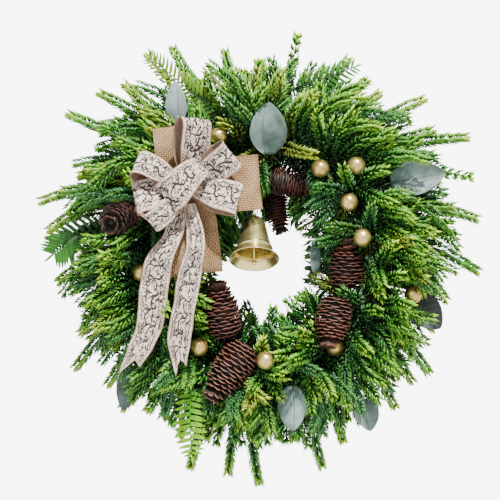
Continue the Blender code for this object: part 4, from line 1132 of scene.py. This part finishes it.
# Each tail: its middle as pixels and millimetres forward, and half its width across, forward and up
LEFT_TAIL = [
    (184, 204, 76), (175, 236, 83), (163, 257, 86), (157, 286, 75), (153, 320, 70), (144, 344, 67),
    (132, 368, 59),
]
LEFT_HALF = [(6, 1, 0), (10, 3, 0), (13, 3, 0), (14, 2, 0), (13, 3, 0), (13, 6, 1), (10, 8, 4)]
RIGHT_TAIL = [
    (191, 205, 77), (197, 232, 82), (197, 249, 86), (192, 272, 78), (187, 300, 74), (181, 338, 65),
    (183, 368, 62),
]
RIGHT_HALF = [(6, 0, 0), (8, 2, 0), (9, 3, 0), (11, 2, 0), (11, 4, 0), (11, 5, 1), (5, 3, 5)]


def linen(shade):
    outer, across = shade.mark("outer"), shade.mark("across")
    u, v = shade.mark("along") / LINEN_THREAD, across * (RIBBON_WIDE / 2 / LINEN_THREAD)
    weave = u.maths("PINGPONG", 0.5) + v.maths("PINGPONG", 0.5)
    slub = shade.noise(300, 4)
    hem = across.maths("ABSOLUTE").between(0.93, 0.97)
    cream = (slub * 0.6 + weave * 0.25 + shade.noise(35, 2) * 0.3).ramp(
        (0.40, (0.54, 0.40, 0.33)), (0.58, (0.80, 0.65, 0.56)), (0.75, (0.90, 0.78, 0.70))
    )
    brown = (slub * 0.6 + weave * 0.3).ramp((0.3, (0.20, 0.125, 0.085)), (0.7, (0.36, 0.245, 0.18)))
    colour = shade.tint(brown, cream, outer.between(0.45, 0.55))
    colour = shade.tint(colour, (0.27, 0.155, 0.09), hem * 0.75)
    return {"Base Color": colour, "height": weave * 0.5 + slub * 0.5}


LINEN = surface("linen_ribbon", linen, 0.18 * MM, Roughness=0.85, Specular_IOR_Level=0.25)


def ink(shade):
    thin = shade.noise(700, 3)
    return {"Base Color": thin.ramp((0.35, (0.010, 0.008, 0.009)), (0.7, (0.035, 0.026, 0.026)))}


INK = surface("ribbon_ink", ink, Roughness=0.7)


def scroll(middle, size, lean, kind, thick):
    """A pen scroll in flat millimetres: an S or C with curled ends, thick and thin as a pen turns."""
    s = np.linspace(-1, 1, 49)
    bend = 5.6 * s * s * (1 if kind == "S" else np.sign(s))
    angle = lean + bend
    step = np.stack([np.cos(angle), np.sin(angle)], 1)
    line = np.cumsum(step, axis=0)
    line = (line - line.mean(0)) / np.ptp(line, axis=0).max() * size + middle
    pen = 0.22 + 0.78 * np.abs(np.sin(angle - 0.9))
    return line, thick * pen * (1 - 0.75 * np.abs(s) ** 6)


def drop(middle, size, lean, thick):
    """A teardrop stroke."""
    s = np.linspace(0, 1, 12)
    line = middle + size * (s - 0.5)[:, None] * np.array([math.cos(lean), math.sin(lean)])
    line = line + (0.18 * size * np.sin(np.pi * s))[:, None] * np.array([-math.sin(lean), math.cos(lean)])
    return line, thick * np.sin(np.pi * s**0.6) ** 0.8


def print_on(heap, grid, at, long):
    """Scrolls, leaves and dots, pressed on the outside of one stretch of ribbon."""
    normal = unit(np.cross(np.gradient(grid, axis=0), np.gradient(grid, axis=1)))
    top = grid + normal * (RIBBON_THICK / 2 + INK_PROUD)
    rows, columns = at.shape
    centre = at[:, columns // 2] / MM
    half = RIBBON_WIDE / 2 / MM
    strokes = []
    u, hand = 7.0, 1
    while u < long - 3:
        big = draw.uniform(12.0, 17.0)
        middle = np.array([u, hand * draw.uniform(0.5, 2.8)])
        lean = draw.uniform(-0.5, 0.5) + (0 if hand > 0 else math.pi / 2)
        strokes.append(scroll(middle, big, lean, draw.choice("SSC"), draw.uniform(1.8, 2.6)))
        strokes.append(drop(np.array([u + 5, -hand * 6.0]), 5.5, draw.uniform(-0.8, 0.8), 2.0))
        strokes.append(drop(np.array([u + 7, -hand * 3.2]), 4.0, draw.uniform(0.4, 1.6), 1.7))
        strokes.append(drop(np.array([u - 4, hand * 8.4]), 3.8, draw.uniform(-0.5, 0.5), 1.6))
        u, hand = u + draw.uniform(7.5, 10.0), -hand
    for row, gap in ((-11.6, 3.6), (11.6, 3.6), (-7.8, 4.6), (7.8, 4.8), (0.0, 9.0)):
        u = 3.0 + draw.uniform(0, gap)
        while u < long - 2:
            middle = np.array([u, row + draw.uniform(-0.4, 0.4)])
            size, lean = draw.uniform(3.2, 4.6), draw.uniform(-0.7, 0.7)
            strokes.append(scroll(middle, size, lean, draw.choice("SCS"), 1.25))
            u += gap * draw.uniform(0.85, 1.2)
    for line, thick in strokes:
        way = unit(np.gradient(line, axis=0))
        across = np.stack([-way[:, 1], way[:, 0]], 1) * thick[:, None] / 2
        edges = np.stack([line - across, line + across], 1)
        x, y = edges[..., 0], edges[..., 1]
        if x.min() < 1.5 or x.max() > long - 1.5 or np.abs(y).max() > half - 1.3:
            continue
        r = np.interp(x, centre, np.arange(rows))
        q = (y / half + 1) / 2 * (columns - 1)
        i, j = np.minimum(r.astype(int), rows - 2), np.minimum(q.astype(int), columns - 2)
        f, g = (r - i)[..., None], (q - j)[..., None]
        places = mix(mix(top[i, j], top[i + 1, j], f), mix(top[i, j + 1], top[i + 1, j + 1], f), g)
        k = 2 * np.arange(len(line) - 1)
        heap.add(places.reshape(-1, 3), [np.stack([k, k + 2, k + 3, k + 1], 1)])


def lay_printed(cloth, prints, line, sides, wide, pleat, sag, notch, seed):
    """One stretch of printed ribbon with its wired edges. Returns how long it is."""
    grid, at, c = ribbon_grid(line, sides, wide, 21, pleat, sag, notch, seed)
    lay_ribbon(cloth, grid, at, c, RIBBON_THICK, RIBBON_EDGE, (1.0, 1.0))
    long = at[:, len(c) // 2].max() if not notch else at[-1].min()
    print_on(prints, grid, at, long / MM)
    return at[-1].max()


def make_ribbon():
    prints, loops, long = Heap(), Heap(), 0.0
    middle = (RIBBON_BACK + RIBBON_FRONT) / 2
    for n, loop in enumerate(RIBBON_LOOPS):
        line, sides, wide = loop_line(middle, RIBBON_WAIST, 1.5, *loop)
        long += lay_printed(loops, prints, line, sides, wide, 1.5 * MM, 1.0 * MM, 0.0, 2.3 * n)
    t = np.linspace(0, 1, 90)
    line = along_line([spot(*p) for p in FRONT_LOOP], t)
    span = along_line([(w, 0.0, 0.0) for w in FRONT_WIDE], t)[:, 0]
    sides = FRONT_SIDE * (0.5 * span * PIXEL)[:, None]
    wide = np.minimum(1, span / max(FRONT_WIDE))
    long += lay_printed(loops, prints, line, sides, wide, 2.0 * MM, 1.0 * MM, 0.0, 5.0)
    knot(loops, RIBBON_BACK, RIBBON_FRONT, RIBBON_WAIST, along=0.0, across=0.0, outer=1.0)
    bow = loops.piece("ribbon_loops", LINEN, "printed_ribbon", ["ribbon_bow"])
    cuts = (1.1, "left", LEFT_TAIL, LEFT_HALF), (3.1, "right", RIGHT_TAIL, RIGHT_HALF)
    for seed, name, route, halves in cuts:
        cloth = Heap()
        line = along_line([spot(*p) for p in route], t)
        reach = along_line([(x, 0.0, up) + FRONT * y for x, y, up in halves], t) * PIXEL
        wide = np.minimum(1, np.linalg.norm(reach, axis=1) / (TAIL_HALF * PIXEL))
        cut = lay_printed(cloth, prints, line, reach, wide, 2.2 * MM, 1.9 * MM, 0.07, seed)
        made = cloth.piece(f"ribbon_tail_{name}", LINEN, "printed_ribbon", ["ribbon_bow"])
    printed = prints.piece("ribbon_print", INK, "printed_ribbon", ["ribbon_bow"])


make_ribbon()

# Bell: spun brass, with a beaded groove above the flare, a soldered eye and a staple for the clapper.
# It hangs from its wire loop at a slant, so that its mouth shows.
BELL_PIVOT = spot(254, 215, 42)
BELL_TILT = 29
EYE_HOLE, EYE_ROD = 1.3 * MM, 0.9 * MM
CLAPPER_DROP = 15 * MM
BELL_OUTSIDE = [  # radius and distance below the eye
    (0.0, 2.3), (3.2, 2.4), (6.0, 4.2), (8.9, 6.2), (10.7, 9.0), (12.0, 13.2), (13.3, 19.0), (14.9, 26.4),
    (16.3, 33.0), (17.2, 37.4), (17.6, 38.8), (18.7, 39.6), (19.2, 40.8), (18.8, 42.0), (18.4, 42.8),
    (18.7, 44.0), (20.0, 46.0), (22.1, 48.6), (24.2, 50.8), (25.5, 52.0), (25.9, 52.6), (25.5, 53.1),
]
BELL_INSIDE = [
    (24.7, 52.7), (22.9, 50.8), (20.7, 48.6), (18.7, 46.2), (17.2, 43.4), (16.2, 38.4), (15.0, 32.0),
    (13.6, 25.4), (12.0, 18.6), (10.7, 13.2), (9.2, 9.8), (6.0, 6.4), (0.0, 5.4),
]
STAPLE_HALF, STAPLE_RISE, STAPLE_TOP, STAPLE_ROD = 3.2 * MM, 1.4 * MM, -4.0 * MM, 0.7 * MM


def tilted(points, degrees, pivot):
    """Points that were made upright, leaning by so many degrees on their pivot."""
    a = math.radians(degrees)
    turn = np.array([[1, 0, 0], [0, math.cos(a), -math.sin(a)], [0, math.sin(a), math.cos(a)]])
    return np.asarray(points) @ turn.T + pivot


def wire_eye(hole, wire, step, sides):
    """A closed ring of wire in the YZ plane."""
    turns = np.radians(np.arange(0, 360, step))
    ring = (hole + wire) * np.stack([0 * turns, np.cos(turns), np.sin(turns)], 1)
    return rod(ring, wire, sides, closed=True)


def make_brass(name, node, degrees, pivot, shapes):
    """A brass piece on its own body, from shapes that were made upright."""
    heap = Heap()
    for points, faces in shapes:
        heap.add(tilted(points, degrees, pivot), faces)
    heap.piece(name, BRASS, "bell_metal", [node], node)


def brass(shade):
    dull = shade.noise(90, 3)
    scratch = shade.noise(700, 3, shade.place((1.0, 1.0, 0.06)))
    colour = (dull * 0.7 + scratch * 0.3).ramp(
        (0.35, (0.56, 0.46, 0.18)), (0.62, (0.75, 0.65, 0.30)), (0.8, (0.83, 0.75, 0.40))
    )
    return {"Base Color": colour, "Roughness": 0.14 + dull * 0.14 + scratch * 0.08, "height": scratch}


BRASS = surface("spun_brass", brass, 0.02 * MM, Metallic=0.93)


def make_bell():
    outline = [
        along_line([(r * MM, -z * MM, 0.0) for r, z in half], np.linspace(0, 1, n))
        for half, n in ((BELL_OUTSIDE, 88), (BELL_INSIDE, 40))
    ]
    outline = np.concatenate(outline)
    half, rise, low = STAPLE_HALF, STAPLE_RISE, -CLAPPER_DROP
    left = [(-half, 0, STAPLE_TOP), (-half, 0, low + rise)]
    left += [(-half + 0.6 * rise, 0, low + 0.2 * rise), (-half + 1.2 * rise, 0, low)]
    staple = left + [(-x, y, z) for x, y, z in reversed(left)]
    shell = turned(np.maximum(outline[:, 0], 1e-6), outline[:, 1], 72)
    shapes = shell, wire_eye(EYE_HOLE, EYE_ROD, 12, 12), rod(staple, STAPLE_ROD, 10)
    make_brass("bell_shell", "bell", -BELL_TILT, BELL_PIVOT, shapes)


make_bell()

# Clapper: a straight brass wire that ends in a small ball.
# Its eye is closed round the staple in the bell, and it swings free on it.
CLAPPER_ROD, CLAPPER_LONG, CLAPPER_TILT = 0.7 * MM, 37 * MM, 22
CLAPPER_HOLE, CLAPPER_BALL = 1.1 * MM, 2.4 * MM


def make_clapper():
    pivot = tilted([(0, 0, -CLAPPER_DROP)], -BELL_TILT, BELL_PIVOT)[0]
    straight = [(0, 0, -CLAPPER_HOLE - CLAPPER_ROD), (0, 0, -CLAPPER_LONG)]
    pole = np.linspace(0, np.pi, 17)
    radii = np.maximum(CLAPPER_BALL * np.sin(pole), 1e-6)
    ball = turned(radii, CLAPPER_BALL * np.cos(pole) - CLAPPER_LONG, 24)
    shapes = wire_eye(CLAPPER_HOLE, CLAPPER_ROD, 15, 10), rod(straight, CLAPPER_ROD, 12), ball
    make_brass("clapper_wire", "clapper", CLAPPER_TILT - BELL_TILT, pivot, shapes)


make_clapper()

# Stage: a plain pale floor well below the wreath, and a white surround.
# A hard sun stands above and a little in front, with a weak soft light from the left.
FLOOR_RADIUS, FLOOR_DROP = 2.6, 0.85
EYE_DISTANCE = 2.6  # how far the camera stands from the wreath
PICTURE = 500  # the photograph's width and height in pixels
LIT, SEEN, MIRRORED = 0.22, 7.5, 1.0  # the surround's strength as light, more to the eye, and more in mirrors


def pale(shade):
    return {"Base Color": shade.noise(3, 2).ramp((0.3, (0.80, 0.80, 0.79)), (0.7, (0.84, 0.84, 0.83)))}


bpy.ops.mesh.primitive_circle_add(
    vertices=160, radius=FLOOR_RADIUS, fill_type="NGON", location=(0, 0, -FLOOR_DROP)
)
floor = bpy.context.object
floor.name = "floor"
floor.data.materials.append(surface("pale_floor", pale, Roughness=0.9))

world = bpy.data.worlds.new("white_surround")
bpy.context.scene.world = world
world.use_nodes = True
air = Shade(world.node_tree)
seen, mirrored = (air.node("ShaderNodeLightPath", {}, {}, f"Is {ray} Ray") for ray in ("Camera", "Glossy"))
strength = LIT + seen * SEEN + mirrored * MIRRORED
shown = world.node_tree.nodes["Background"]
world.node_tree.links.new(strength.socket, shown.inputs["Strength"])
shown.inputs["Color"].default_value = (1.0, 1.0, 1.0, 1.0)


def light(name, kind, place, energy, colour):
    """A light that points at the wreath's middle."""
    lamp = bpy.data.lights.new(name, kind)
    lamp.energy, lamp.color = energy, colour
    shining = bpy.data.objects.new(name, lamp)
    shining.location = place
    shining.rotation_euler = (Vector((0, 0, CENTRE[2])) - Vector(place)).to_track_quat("-Z", "Y").to_euler()
    bpy.context.scene.collection.objects.link(shining)
    return lamp


light("sun", "SUN", (0.35, -1.25, 1.75), 10.5, (1.0, 0.97, 0.91)).angle = math.radians(2.0)
light("soft_front", "AREA", (-0.9, -2.2, 0.3), 14.0, (0.93, 0.96, 1.0)).size = 1.6

camera = bpy.data.cameras.new("camera")
camera.lens, camera.sensor_width = 36 * EYE_DISTANCE / (PICTURE * PIXEL), 36
eye = bpy.data.objects.new("camera", camera)
eye.location = spot(PICTURE / 2, PICTURE / 2) + FRONT * EYE_DISTANCE
eye.rotation_euler = (math.radians(90), 0, 0)
bpy.context.scene.collection.objects.link(eye)
bpy.context.scene.camera = eye
